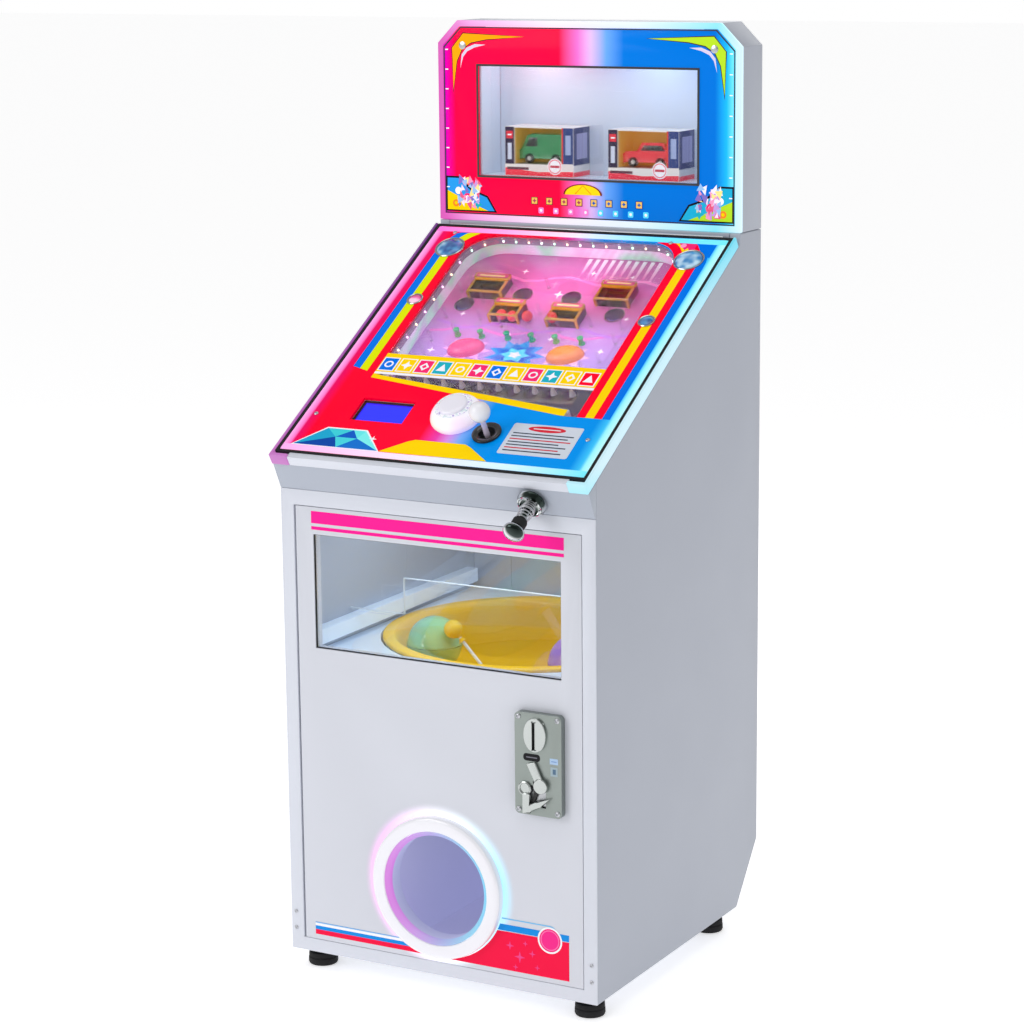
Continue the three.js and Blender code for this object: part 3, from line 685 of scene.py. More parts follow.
# --- Exit chute -----------------------------------------------------------------------------------
# A pocket of folded sheet metal, painted in pale lilac and screwed to the base board. It catches
# what drops from the turntable and brings it to the round exit.

softened("exit_chute", chute_paint_painted_glow, "cabinet", bevel=0.5)

# --- Coin unit ------------------------------------------------------------------------------------
# A die-cast plate bolted to the door: an oval boss round the coin slot, a return lever that turns on
# its own pin, and a cup that the returned coin drops into behind a small steel flap.


def solid(bm, outline, low_side, high_side, place, holes=()):
    """A closed plate between two heights, with holes through it."""
    flat = bmesh.new()
    loops = []
    for points in (outline, *holes):
        corners = [flat.verts.new((a, b, 0)) for a, b in points]
        for k, corner in enumerate(corners):
            flat.edges.new((corner, corners[(k + 1) % len(corners)]))
        loops.append([tuple(c.co) for c in corners])
    bmesh.ops.triangle_fill(flat, use_beauty=True, use_dissolve=False, edges=flat.edges)
    made = {}

    def vertex(point, height):
        key = (round(point[0], 4), round(point[1], 4), height)
        if key not in made:
            made[key] = bm.verts.new(place(point[0], point[1], height))
        return made[key]

    for face in flat.faces:
        for height in (low_side, high_side):
            bm.faces.new([vertex(v.co, height) for v in face.verts])
    flat.free()
    for loop in loops:
        for k, point in enumerate(loop):
            after = loop[(k + 1) % len(loop)]
            bm.faces.new((vertex(point, low_side), vertex(after, low_side),
                          vertex(after, high_side), vertex(point, high_side)))


def plate(name, outline, low_side, high_side, place, material, body, bevel=0.3, holes=(),
          replaces=(), steps=2):
    bm = bmesh.new()
    solid(bm, outline, low_side, high_side, place, holes)
    return settle(name, bm, material, body, replaces, bevel, steps)


def oval(a, b, half_a, half_b, steps=32):
    turns = [2 * math.pi * k / steps for k in range(steps)]
    return [(a + half_a * math.cos(t), b + half_b * math.sin(t)) for t in turns]


cast = finish("cast_zinc", srgb(146, 154, 150), 0.34, metal=0.9, grain=700, relief=0.35, spread=0.25)
polished = finish("polished_zinc", srgb(188, 193, 191), 0.2, metal=1.0, grain=300, relief=0.12,
                  spread=0.2)
softened("coin_plate", cast, "front_door", bevel=1.8, steps=3)
plate("coin_slot_boss", oval(146.2, 340, 15.6, 22), 9.8, 13.6, on_door, polished, "front_door",
      bevel=1.4, holes=[rect(143.6, 147.4, 321.6, 356.4)], steps=3)
plate("coin_slot_shadow", rect(143.5, 147.5, 321.5, 356.5), 4, 9.9, on_door, black_plastic,
      "front_door", bevel=0.2)
lip = [(131, 263), (138.6, 263), (139.6, 251), (148, 255.6), (164.6, 260), (156, 250), (143, 244),
       (139.6, 240.6), (131, 240.6)]
plate("coin_return_lip", lip, 9.8, 14.6, on_door, polished, "front_door", bevel=1.2,
      steps=3)
turned("coin_return_plug",
       [(0, 9.8), (8.8, 9.8), (8.8, 12.4), (7.6, 13), (6.6, 12.4), (6.2, 11), (0, 11)], (131.4, 270.6),
       on_door, 32, polished, "front_door", smooth=40)
plate("coin_return_shadow", [(142, 281), (145.6, 279), (149.4, 266), (143, 251.6), (139.8, 252.6),
                             (143.4, 265)], 9.9, 10.1, on_door, black_plastic, "front_door",
      bevel=0.0)
softened("coin_return_lever", polished, "coin_return_lever", bevel=1.8, steps=3)
softened("coin_flap", steel, "coin_flap", bevel=0.4)
coin_screws = [on_door(a, b, 10) for a, b in ((122.4, 361.4), (176.6, 361.4), (122.4, 243), (176.6, 243))]
repeated("coin_plate_screws", screw_head(3.4), coin_screws, facing_player, zinc, "front_door",
         spin=math.pi)
labels = [
    (srgb(24, 24, 28), rounded(129, 152.5, 306, 315.4, 4)),
    (srgb(120, 120, 130), rounded(133, 148.5, 310, 311.4, 0.7)),
    (srgb(170, 196, 226), rounded(166, 177.4, 305.6, 313, 0.8)),
    (srgb(120, 150, 200), rect(168, 175.4, 308.6, 309.8)),
    (srgb(160, 178, 186), rounded(167, 176.8, 290.5, 302, 0.8)),
    (srgb(90, 116, 140), rect(170, 174.4, 293, 299.6)),
]
ink_sheet("coin_labels", labels, on_door, 10.02, vinyl, "front_door", step=0.03)
mech_plastic = finish("mechanism_plastic", srgb(42, 43, 47), 0.5, grain=600, relief=0.3)
softened("coin_mechanism", mech_plastic, "front_door", bevel=1.0)
softened("cash_box", steel, "cabinet", bevel=0.5)

# --- Prize space ----------------------------------------------------------------------------------
# A white shelf with a moulded yellow turntable in it, which a motor below carries round until its
# outlet passes the drop hole over the chute. A white ledge runs along the left wall.

# White melamine with a faint bluish glow: painted light, also on the ledge, the lollipop stick and the
# board's sockets.
shelf_white_painted_glow = finish("white_melamine_painted_glow", srgb(226, 234, 244), 0.3, grain=1200, relief=0.08, shade=0.01,
                     glow=srgb(150, 176, 205), glow_strength=0.22)
softened("prize_shelf", shelf_white_painted_glow, "cabinet", bevel=0.6)
softened("drop_plate", steel, "cabinet", bevel=0.3)
rim_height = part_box("turntable_bowl")[1].z
# The bowl's one yellow plastic is painted darker below its rim, painted shade inside the bowl, and it
# glows faintly: painted light.
shaded_yellow, lit_yellow = srgb(216, 164, 8), srgb(255, 204, 0)
bowl_plastic_painted_light = finish("yellow_polypropylene_painted_light", shaded_yellow, 0.35, relief=0.1, specular=0.08,
                      glow=srgb(190, 140, 0), glow_strength=0.14)
toned(bowl_plastic_painted_light, along(bowl_plastic_painted_light, "Z", rim_height - 0.012, rim_height),
      [(0.0, shaded_yellow), (1.0, lit_yellow)])
softened("turntable_bowl", bowl_plastic_painted_light, "turntable", bevel=0.8)
softened("turntable_motor", mech_plastic, "cabinet", bevel=1.5)
plate("prize_ledge", rect(-208.8, -191, 405, 424), 34, 440, by_depth, shelf_white_painted_glow,
      "cabinet", bevel=0.4, holes=[rect(-207, -192.6, 406.6, 422.4)])


def capsule(name, centre, radius, lower, upper):
    """Two press-fit half shells with a lip where they meet."""
    x, y, z = centre
    for part, material, turn in (("lower", lower, -1), ("upper", upper, 1)):
        wall = radius - 1.4
        outer = [(radius * math.cos(t), turn * radius * math.sin(t))
                 for t in (math.pi / 2 * k / 12 for k in range(1, 13))]
        inner = [(wall * math.cos(t), turn * wall * math.sin(t))
                 for t in (math.pi / 2 * k / 12 for k in range(11, 0, -1))]
        lip = [(wall, turn * 0.4), (radius + 0.9, turn * 0.4), (radius + 0.9, turn * 2.4)]
        profile = [(0, turn * wall)] + inner + lip + outer[:-1] + [(0, turn * radius)]
        turned(f"{name}_{part}", profile, (0, 0), lambda a, b, h: at(x + a, y + b, z + h), 40, material,
               "turntable", ("prize_capsule",) if name == "mint_capsule" else ())


mint = finish("mint_shell", srgb(138, 204, 150), 0.14, relief=0.03, coat=0.6)
mint_top = finish("mint_top_shell", srgb(146, 212, 158), 0.1, relief=0.02, coat=0.8)
purple = finish("purple_shell", srgb(150, 110, 205), 0.14, relief=0.03, coat=0.6)
capsule("mint_capsule", (-103, 171, 386), 36.4, mint, mint_top)
capsule("purple_capsule", (106, 174, 384), 36.4, purple, purple)
guard = [(-209, 427.6), (209, 427.6), (209, 479), (-125, 479), (-125, 431), (-209, 431)]
plate("guard_plate", guard, 131.6, 134.4, by_depth, thin_clear, "cabinet",
      bevel=0.3)
# The guard's edges are opaque near-white strips: a painted highlight where the clear sheet's edges catch
# the light.
bm = bmesh.new()
for start, end, level in ((-209, -125, 431), (-125, 209, 479)):
    solid(bm, rect(start, end, level, level + 1), 131.4, 134.6, by_depth)
solid(bm, rect(-125.8, -124.8, 431, 479), 131.4, 134.6, by_depth)
settle("guard_edges", bm, finish("acrylic_edge_painted_highlight", srgb(235, 242, 246), 0.3), "cabinet")


def candy_axis():
    """Local frame of the lollipop: its stick leans towards the middle of the bowl."""
    head, foot = at(-64, 153, 413.5), at(-13, 166, 349)
    axis = (head - foot).normalized()
    side = axis.orthogonal().normalized()
    return head, axis, side, axis.cross(side)


def on_candy(a, b, h):
    head, axis, side, across = candy_axis()
    return head + side * a / 1000 + across * b / 1000 + axis * h / 1000


candy_radius = 12.4
candy = [(0, candy_radius)] + [(candy_radius * math.cos(t), candy_radius * math.sin(t))
                               for t in (math.radians(80 - 10 * k) for k in range(15))]
candy += [(2.2, -12.8), (2.0, -15), (5.6, -20), (5.2, -20.4), (1.6, -15.6), (0, -15.6)]
wrapper = finish("yellow_wrapper", srgb(250, 205, 40), 0.22, relief=0.3, grain=260, coat=0.6)
turned("lollipop_wrapped", candy, (0, 0), on_candy, 28, wrapper, "turntable", ("lollipop",))
turned("lollipop_stick", [(0, -11), (2.1, -11), (2.1, -82.5), (1.6, -83), (0, -83)], (0, 0), on_candy, 14,
       shelf_white_painted_glow, "turntable")


def lamp(name, place, colour, power, size, turn=(0, 0, 0)):
    """A soft lamp inside the machine, which shines down unless it is turned; it isn't seen itself."""
    light = bpy.data.lights.new(name, "AREA")
    light.energy, light.color, light.size = power, colour, size
    holder = placed(name, light)
    holder.location, holder.rotation_euler = place, turn
    holder.visible_camera = holder.visible_glossy = holder.visible_transmission = False


led_strip = finish("led_strip", srgb(240, 245, 255), 0.4, glow=srgb(235, 240, 255), glow_strength=0.7)
plate("prize_light_strip", rounded(-170, 170, 30, 42, 2), 578, 586, at, led_strip, "cabinet",
      bevel=0.5)
lamp("prize_lamp", at(0, 180, 600), (0.72, 0.88, 1.0), 0.8, 0.28)

# --- Deck lid frame, light rails and gasket -------------------------------------------------------
# A lacquered frame hinged at its upper edge. Edge-lit rails of frosted acrylic run up both sides,
# pink at the left and cyan at the right, and a black gasket holds the glass.

SLOPE = math.radians(30.75)
lip_y, lip_z = -16.2, 648.7  # front lip of the deck's top face


def on_deck(u, v, h=0.0):
    """A point on the deck: u across, v up the slope, h out of it."""
    return at(u, lip_y + v * math.cos(SLOPE) - h * math.sin(SLOPE),
              lip_z + v * math.sin(SLOPE) + h * math.cos(SLOPE))


softened("deck_frame", lacquer, "deck_lid", bevel=0.8)
softened("glass_gasket", rubber, "deck_lid", bevel=0.5)
deck_foot, deck_head = on_deck(0, 0).z, on_deck(0, 489).z
pink_rail = ramped("pink_light_rail", [
    (deck_foot - 0.004, srgb(250, 150, 238)), (deck_foot + 0.05, srgb(226, 120, 226)),
    (deck_foot + 0.15, srgb(190, 90, 200)), (deck_head, srgb(120, 60, 150)),
], "Z", strength=0.5, base=srgb(90, 60, 100))
cyan_rail = ramped("cyan_light_rail", [
    (deck_foot - 0.004, srgb(150, 242, 255)), (deck_foot + 0.03, srgb(214, 246, 255)),
    (deck_foot + 0.15, srgb(200, 244, 255)), (deck_head, srgb(70, 220, 245)),
], "Z", strength=0.7, base=srgb(110, 130, 140))
softened("light_trim_left", pink_rail, "deck_lid", bevel=1.2, steps=3)
softened("light_trim_right", cyan_rail, "deck_lid", bevel=1.2, steps=3)

# --- Deck glass -----------------------------------------------------------------------------------
# Toughened glass, back-printed round its play opening, red at the left through lilac to blue at the
# right, with cut-outs for the button, the stick and the display. Jewel mounts and four screws sit
# on it.

# The print glows faintly, which is painted light; its outermost edges turn pale pink at the left and pale
# cyan at the right, the rails' glow painted on the glass.
deck_print_painted_glow = ramped("back_printed_glass_painted_glow", [
    (-0.2165, srgb(255, 176, 236)), (-0.208, srgb(250, 120, 200)), (-0.205, srgb(228, 10, 100)),
    (-0.190, srgb(250, 0, 46)), (-0.034, srgb(250, 0, 50)), (-0.010, srgb(226, 60, 170)),
    (0.006, srgb(206, 140, 220)), (0.022, srgb(120, 170, 236)), (0.040, srgb(0, 142, 232)),
    (0.190, srgb(0, 140, 228)), (0.204, srgb(60, 190, 244)), (0.208, srgb(150, 240, 255)),
    (0.2165, srgb(190, 250, 255)),
], "X", rough=0.14, strength=0.2, coat=0.04, specular=0.03)


def play_opening(inset=0.0):
    """Outline of the clear area: round upper corners, and a lower edge that falls to the right."""
    left, right, top, radius = -159 + inset, 158.3 - inset, 472 - inset, 48 - inset
    return (arc(right - radius, top - radius, radius, 0, 90, 10)
            + arc(left + radius, top - radius, radius, 90, 180, 10)
            + [(left, 169 + inset), (135.5, 119 + inset), (right, 119 + inset)])


button_spot, stick_spot = (1, 98), (54.4, 74)
glass_under, glass_top = 10.3, 14.0
plate("deck_print", rounded(-216.2, 216.2, 12.6, 483.7, 4), glass_under, glass_top, on_deck, deck_print_painted_glow,
      "deck_lid", bevel=0.25, replaces=("deck_glass",),
      holes=[play_opening(), disc(*button_spot, 24, 40), disc(*stick_spot, 13, 32),
             rect(-148, -71, 79, 122)])
plate("deck_pane", play_opening(0.1), glass_under, glass_top, on_deck, glass, "deck_lid",
      bevel=0.0)

red, lime, blue, gold = srgb(252, 0, 44), srgb(214, 226, 0), srgb(0, 112, 225), srgb(246, 206, 0)
rose, teal, white = srgb(240, 40, 110), srgb(30, 170, 190), srgb(238, 238, 246)
cyan, pale_pink, ink_black = srgb(120, 236, 252), srgb(252, 176, 238), srgb(22, 18, 30)


def corner_stripe(inner, outer, side):
    """A stripe that climbs beside the opening and follows its corner until the top cuts it."""
    centre = -111 if side < 0 else 110.3
    span = (180, 100) if side < 0 else (0, 80)
    near = arc(centre, 424, inner, *span, 12)
    far = arc(centre, 424, outer, span[1], span[0], 12)
    return [(u, min(v, 472.6)) for u, v in near + far]


def tile(u, v, colour, motif):
    """One printed square: a white edge, a coloured field and a plain motif."""
    wide, tall, border = 11.6, 11.6 * 1.15, 1.5
    half = wide - border
    shapes = [(white, rect(u - wide, u + wide, v - tall, v + tall)),
              (colour, rect(u - half, u + half, v - tall + border, v + tall - border))]
    if motif == 0:
        shapes += [(white, disc(u, v, 6.4, 18)), (colour, disc(u, v, 4, 18))]
    elif motif == 1:
        shapes += [(white, sparkle(u, v, 8.6, 0.42))]
    elif motif == 2:
        shapes += [(white, [(u, v + 8), (u - 7, v), (u, v - 8), (u + 7, v)]),
                   (colour, [(u, v + 4), (u - 3.6, v), (u, v - 4), (u + 3.6, v)])]
    else:
        shapes += [(white, [(u - 7, v - 6), (u + 7, v - 6), (u, v + 8)])]
    return shapes


def ramp_row(u0, u1, v0, v1, colours):
    """A band in several colours from left to right."""
    step = (u1 - u0) / (len(colours) - 1)
    return [([colours[k], colours[k + 1], colours[k + 1], colours[k]],
             rect(u0 + k * step, u0 + (k + 1) * step, v0, v1)) for k in range(len(colours) - 1)]


shapes = []
shapes += ramp_row(-216, 216, 13, 24, [pale_pink, srgb(255, 214, 246), white, srgb(214, 246, 255), cyan])
shapes += ramp_row(-216, 216, 473.4, 483.4, [srgb(255, 120, 220), pale_pink, white, cyan, cyan])
for inner, outer, colour in ((48, 60.4, red), (60.4, 73, lime), (73, 85, blue)):
    foot = 171 + (inner - 48) * 0.28
    stripe = [(-111 - outer, foot + 3.4), (-111 - inner, foot), (-111 - inner, 424), (-111 - outer, 424)]
    shapes += [(colour, stripe), (colour, corner_stripe(inner, outer, -1))]
for inner, outer, colour in ((48, 59.7, red), (59.7, 71.4, gold), (71.4, 82.7, red), (82.7, 93.7, blue)):
    shapes += [(colour, rect(110.3 + inner, 110.3 + outer, 119, 424)),
               (colour, corner_stripe(inner, outer, 1))]
shapes += [(rose, [(176, 473), (150, 473), (166, 455), (176, 446)]),
           (blue, [(176, 473), (204, 473), (204, 445), (190, 452)]),
           (srgb(255, 150, 190), disc(158, 468, 4.2, 16)), (gold, sparkle(166, 457, 7, 0.5))]
shapes += [(gold, [(-159, 169), (-159, 212), (158.3, 212), (158.3, 175), (-150, 175), (-150, 169)]),
           (white, rect(-159, 158.3, 170.4, 174.6))]
row = [blue, gold, rose, teal, gold, rose, blue, gold, rose, teal, gold, red]
pocket_pitch = 26.4
for k, colour in enumerate(row):
    shapes += tile(-146.5 + pocket_pitch * k, 190.5, colour, k * 5 % 4)
shapes += [(gold, [(-150, 168), (135.5, 131), (141, 131), (141, 119), (135.5, 119), (-159, 162),
                   (-159, 169)]),
           (gold, [(-77, 24.5), (77, 24.5), (44, 47), (34.7, 51.5), (-36.5, 51.5), (-46, 47)])]
crystal = [(-203, 25), (-79, 25), (-112, 59), (-168, 59)]
facets = [
    (white, [(-206, 23.6), (-76, 23.6), (-110.8, 61), (-169.2, 61)]),
    (srgb(16, 120, 190), crystal),
    (srgb(60, 200, 210), [(-168, 59), (-150, 44), (-130, 59)]),
    (srgb(20, 90, 190), [(-130, 59), (-150, 44), (-118, 44)]),
    (srgb(100, 225, 225), [(-130, 59), (-118, 44), (-112, 59)]),
    (srgb(30, 160, 200), [(-203, 25), (-150, 44), (-168, 59)]),
    (srgb(14, 70, 160), [(-203, 25), (-140, 25), (-150, 44)]),
    (srgb(70, 205, 215), [(-140, 25), (-118, 44), (-150, 44)]),
    (srgb(24, 110, 200), [(-140, 25), (-79, 25), (-118, 44)]),
    (srgb(120, 232, 230), [(-79, 25), (-112, 59), (-118, 44)]),
    (white, sparkle(-96, 46, 6)),
]
shapes += facets
# The artwork's ink glows faintly: painted light.
deck_ink_painted_glow = ink_material("screen_printed_ink_painted_glow", rough=0.14, coat=0.04, glow_strength=0.18, specular=0.03)
ink_sheet("deck_artwork", shapes, on_deck, glass_top, deck_ink_painted_glow, "deck_lid", step=0.004,
          thick=0.03)

notice = [(srgb(214, 222, 234), rounded(82.6, 179, 41.5, 99, 3)),
          (srgb(222, 40, 60), oval(130.8, 91, 26, 5.6, 20)),
          (white, rounded(112, 149.6, 90.2, 91.8, 0.7))]
for k, (start, length, tone) in enumerate((
    (88, 84, (60, 70, 90)), (88, 78, (60, 70, 90)), (88, 84, (210, 50, 70)), (88, 70, (60, 70, 90)),
    (88, 82, (60, 70, 90)), (88, 74, (210, 50, 70)), (88, 80, (60, 70, 90)),
)):
    level = 81 - 5.4 * k
    notice.append((srgb(*tone), rect(start, start + length, level - 1.0, level + 1.0)))
ink_sheet("rules_sticker", notice, on_deck, 14.2, vinyl, "deck_lid", step=0.01)
deck_screws = [on_deck(u, v, 14) for u, v in ((192, 79), (-200, 84), (-186, 471), (138, 472))]
facing_up_slope = (SLOPE, 0, 0)
repeated("deck_screws", screw_head(3.0), deck_screws, facing_up_slope, zinc, "deck_lid",
         spin=math.pi)

# Polished chrome with a reflection painted into its colour: dark where it faces the viewer, as of a dark
# room in front of it, and bright bands towards its edges, as of bright walls.
chrome = finish("chrome_painted_reflection", srgb(232, 233, 238), 0.06, metal=1, grain=200, relief=0.02, spread=0.05)
toned(chrome, chrome.node_tree.nodes.new("ShaderNodeLayerWeight").outputs["Facing"], [
    (0.02, srgb(34, 42, 40)), (0.3, srgb(66, 76, 73)), (0.44, srgb(206, 210, 210)),
    (0.62, srgb(236, 237, 240)), (0.76, srgb(84, 88, 90)), (0.9, srgb(150, 152, 156)),
])


def clouded(material, scale, detail, stops, glow, base=True):
    """Tints a material in soft patches over its surface."""
    nodes = material.node_tree.nodes
    place, cloud = nodes.new("ShaderNodeTexCoord"), nodes.new("ShaderNodeTexNoise")
    cloud.inputs["Scale"].default_value, cloud.inputs["Detail"].default_value = scale, detail
    material.node_tree.links.new(place.outputs["Object"], cloud.inputs["Vector"])
    return toned(material, cloud.outputs["Fac"], stops, glow, base)


# The stones are blue and pink glass clouded with lighter patches, which are painted highlights, and they
# glow faintly: painted light.
for name, spots, tones in (
    ("blue_jewels", ((-178, 438, 21), (178, 438, 21), (172, 310, 11.5)),
     (srgb(20, 80, 150), srgb(66, 140, 196), srgb(176, 214, 234))),
    ("pink_jewel", ((-175, 324, 11.5),), (srgb(230, 60, 140), srgb(250, 110, 190), srgb(255, 210, 235))),
):
    bezels, stones = bmesh.new(), bmesh.new()
    for u, v, r in spots:
        lathe(bezels, [(r, 14.05), (r, 15.2), (r - 1, 16), (r - 2.4, 15.6), (r - 2.6, 14.05)], (u, v),
              on_deck, 48)
        top = [(r - 2.7, 14.1)] + [((r - 2.7) * math.cos(t), 14.3 + r * 0.22 * math.sin(t))
                                  for t in (math.pi / 2 * k / 8 for k in range(8))]
        lathe(stones, [(0, 14.1)] + top + [(0, 14.3 + r * 0.22)], (u, v), on_deck, 48)
    settle(name + "_bezels", bezels, polished, "deck_lid", smooth=40)
    jewel = finish(name + "_glass", tones[1], 0.08, relief=0.0, coat=1.0)
    clouded(jewel, 62, 1, list(zip((0.36, 0.5, 0.66), tones)), 0.1)
    settle(name, stones, jewel, "deck_lid")

# --- Display --------------------------------------------------------------------------------------
# A small blue character display in a black moulded housing, clipped to the lid from below. It sits
# sunk under a cut-out in the print, behind a black mask.

softened("display_module", black_plastic, "deck_lid", bevel=0.5)
frame_ring("display_mask", rect(-147.6, -71.4, 79.4, 121.6), rect(-144.5, -74.5, 82.5, 118.5), 8.1, 9.4,
           on_deck, black_plastic, "deck_lid", "black_plastic")
screen = finish("blue_display", srgb(10, 20, 190), 0.2, relief=0.02, coat=0.4, glow=srgb(8, 24, 225),
                glow_strength=0.9)
plate("display_screen", rect(-144.4, -74.6, 82.6, 118.4), 8.1, 8.6, on_deck, screen, "deck_lid",
      bevel=0.0)

# --- Play button ----------------------------------------------------------------------------------
# A big frosted dome screwed up through the glass, with a patterned ring round the white button that
# sinks 4 mm into it on a spring. Lamps inside tint the dome pink and green.

# The dome is lit from inside: lilac at the left, soft green at the lower right.
frosted = finish("frosted_dome", srgb(226, 222, 232), 0.26, relief=0.02, shade=0.03, coat=0.4)
clouded(frosted, 22, 0, [(0.36, srgb(240, 196, 236)), (0.5, srgb(244, 240, 248)),
                         (0.64, srgb(216, 250, 214))], 0.42, base=False)
dome_profile = [(19.4, 12), (31.2, 12), (31.6, 14.9), (33.0, 16.6), (33.8, 19.6), (33.6, 22.2),
                (32.6, 25), (31.0, 27.9), (29.0, 30.4), (26.8, 32.4), (25.2, 33.6), (24.6, 34.3)]
bm = bmesh.new()
lathe(bm, dome_profile + [(19.4, 34.3)], button_spot, on_deck, 64)
lathe(bm, [(19.4, -22), (23.4, -22), (23.4, 11.9), (19.4, 11.9)], button_spot, on_deck, 48)
settle("dome_shell", bm, frosted, "deck_lid", ("button_dome",), smooth=40)
lace = finish("lace_ring", srgb(240, 236, 246), 0.2, relief=0.03, coat=0.5)
place, cells = (lace.node_tree.nodes.new("ShaderNode" + kind) for kind in ("TexCoord", "TexVoronoi"))
cells.inputs["Scale"].default_value = 210
lace.node_tree.links.new(place.outputs["Object"], cells.inputs["Vector"])
toned(lace, cells.outputs["Distance"],
      [(0.15, srgb(160, 146, 200)), (0.45, srgb(240, 238, 246)), (0.8, srgb(200, 214, 220))], 0.22)
turned("dome_lace_ring",
       [(19.5, 34.35), (24.2, 34.35), (24.0, 35.2), (22.4, 36.2), (20.4, 36.4), (19.5, 36)], button_spot,
       on_deck, 64, lace, "deck_lid", smooth=40)
cap = [(0, 6), (18.8, 6), (18.8, 36.8), (18.2, 38), (17, 38.7), (14, 39.1), (8, 39.3), (0, 39.4)]
pearl = finish("pearl_button", srgb(228, 226, 236), 0.24, relief=0.04, coat=0.4, glow=srgb(230, 228, 240),
               glow_strength=0.18)
turned("play_button_cap", cap, button_spot, on_deck, 64, pearl, "play_button",
       ("play_button",), smooth=50)

# --- Joystick -------------------------------------------------------------------------------------
# A white ball on a lilac-white shaft, through a dished black washer; below the glass the shaft
# turns in a steel gimbal inside a black housing.

softened("joystick_gimbal", steel, "joystick_gimbal", bevel=0.3)
softened("joystick_base", black_plastic, "deck_lid", bevel=0.4)
gloss_black = finish("gloss_black_plastic", srgb(22, 22, 26), 0.16, relief=0.04, coat=0.4)
turned("joystick_washer",
       [(10.7, 15), (18.6, 16.55), (19, 17.3), (18.2, 17.9), (15, 17.2), (12, 16.2), (10.7, 15.6)],
       stick_spot, on_deck, 48, gloss_black, "deck_lid", smooth=50)
shaft = [(0, -14), (3.3, -14), (3.5, 12), (3.9, 14), (3.5, 20), (3.5, 37), (0, 37)]
lilac = finish("lilac_shaft", srgb(226, 214, 238), 0.2, metal=0.2, coat=0.3)
turned("joystick_shaft", shaft, stick_spot, on_deck, 28, lilac, "joystick")
ball_height, ball_radius = 49.4, 13.5
ball = [(ball_radius * math.cos(t), ball_height + ball_radius * math.sin(t))
        for t in (math.radians(-72 + 9 * k) for k in range(18))]
ball = [(0, ball_height - 13.2), (3.9, ball_height - 13.2)] + ball + [(0, ball_height + ball_radius)]
turned("joystick_ball", ball, stick_spot, on_deck, 48, gloss_white, "joystick",
       ("joystick",), smooth=50)

# --- Plunger --------------------------------------------------------------------------------------
# A chromed rod in a chromed housing on the front lip. Its own steel spring inside the lid drives it
# back; a short barrel spring softens the knob's return against the cup.


def along_plunger(a, b, h):
    """The plunger's axis lies in the deck: h is up the slope, a across and b out of the deck."""
    return on_deck(145 + a, h, -18.3 + b)


housing = [(5.1, 30), (7.6, 30), (7.9, -3.6), (17.2, -3.8), (19, -5), (19, -7.2), (17.6, -9.5),
           (16.4, -12.6), (15.4, -13), (14.2, -12.4), (13, -8.4), (10.4, -6.4), (5.1, -6.2)]
turned("plunger_cup", housing, (0, 0), along_plunger, 48, chrome, "cabinet",
       ("plunger_housing",), smooth=40)
rod = [(0, 117), (3.4, 117), (4.6, 115.5), (4.6, 103.4), (7.2, 103.4), (7.2, 100.6), (4.6, 100.6),
       (4.6, -51), (7, -51.4), (11.4, -54.2), (13.4, -56.4)]
rod += [(14 * math.cos(t), -58.8 - 8 * math.sin(t)) for t in (math.pi / 24 * k for k in range(12))]
rod.append((0, -66.8))
turned("plunger_rod", rod, (0, 0), along_plunger, 48, chrome, "plunger", ("plunger",),
       smooth=40)
turned("plunger_collar", [(4.8, -38), (8.2, -38), (9.2, -40), (9.2, -47), (8.4, -50.9), (4.8, -50.9)],
       (0, 0), along_plunger, 36, rubber, "plunger", smooth=40)


def coil_group():
    """A coil spring whose radius runs from its start to its end, as a swept wire."""
    tree = bpy.data.node_groups.new("coil_spring", "GeometryNodeTree")
    add_sockets(tree, {"Geometry": "Geometry", "Turns": "Float", "Start Radius": "Float",
                       "End Radius": "Float", "Length": "Float", "Wire": "Float", "Finish": "Material"},
                {"Geometry": "Geometry"})
    nodes, links = tree.nodes, tree.links
    given, out = nodes.new("NodeGroupInput"), nodes.new("NodeGroupOutput")
    coil, sweep, profile, solid_copy, paint = (nodes.new("GeometryNode" + kind) for kind in (
        "CurveSpiral", "CurveToMesh", "CurvePrimitiveCircle", "RealizeInstances", "SetMaterial",
    ))
    coil.inputs["Resolution"].default_value = 28
    profile.inputs["Resolution"].default_value = 10
    sweep.inputs["Fill Caps"].default_value = True
    join(links, (given, "Turns", coil, "Rotations"), (given, "Start Radius", coil, "Start Radius"),
         (given, "End Radius", coil, "End Radius"), (given, "Length", coil, "Height"),
         (given, "Wire", profile, "Radius"), (coil, "Curve", sweep, "Curve"),
         (profile, "Curve", sweep, "Profile Curve"), (sweep, "Mesh", solid_copy, "Geometry"),
         (solid_copy, "Geometry", paint, "Geometry"), (given, "Finish", paint, "Material"),
         (paint, "Geometry", out, "Geometry"))
    return tree


coil_spring = coil_group()


def spring(name, start, end, first_radius, last_radius, turns, wire, body, replaces=()):
    """A coil along the plunger's axis between two places on it."""
    mesh = bpy.data.meshes.new(name + "_seed")
    mesh.from_pydata([(0, 0, 0)], [], [])
    holder = placed(name + "_seed", mesh)
    modifier = holder.modifiers.new("coil", "NODES")
    modifier.node_group = coil_spring
    set_inputs(modifier, **{"Turns": turns, "Start Radius": first_radius / 1000,
                            "End Radius": last_radius / 1000, "Length": (end - start) / 1000,
                            "Wire": wire / 1000, "Finish": steel})
    bpy.context.view_layer.update()
    made = baked(name, holder, body, replaces, smooth=60)
    made.data.transform(Matrix.Translation(along_plunger(0, 0, start))
                        @ Matrix.Rotation(SLOPE - math.pi / 2, 4, "X"))
    return made


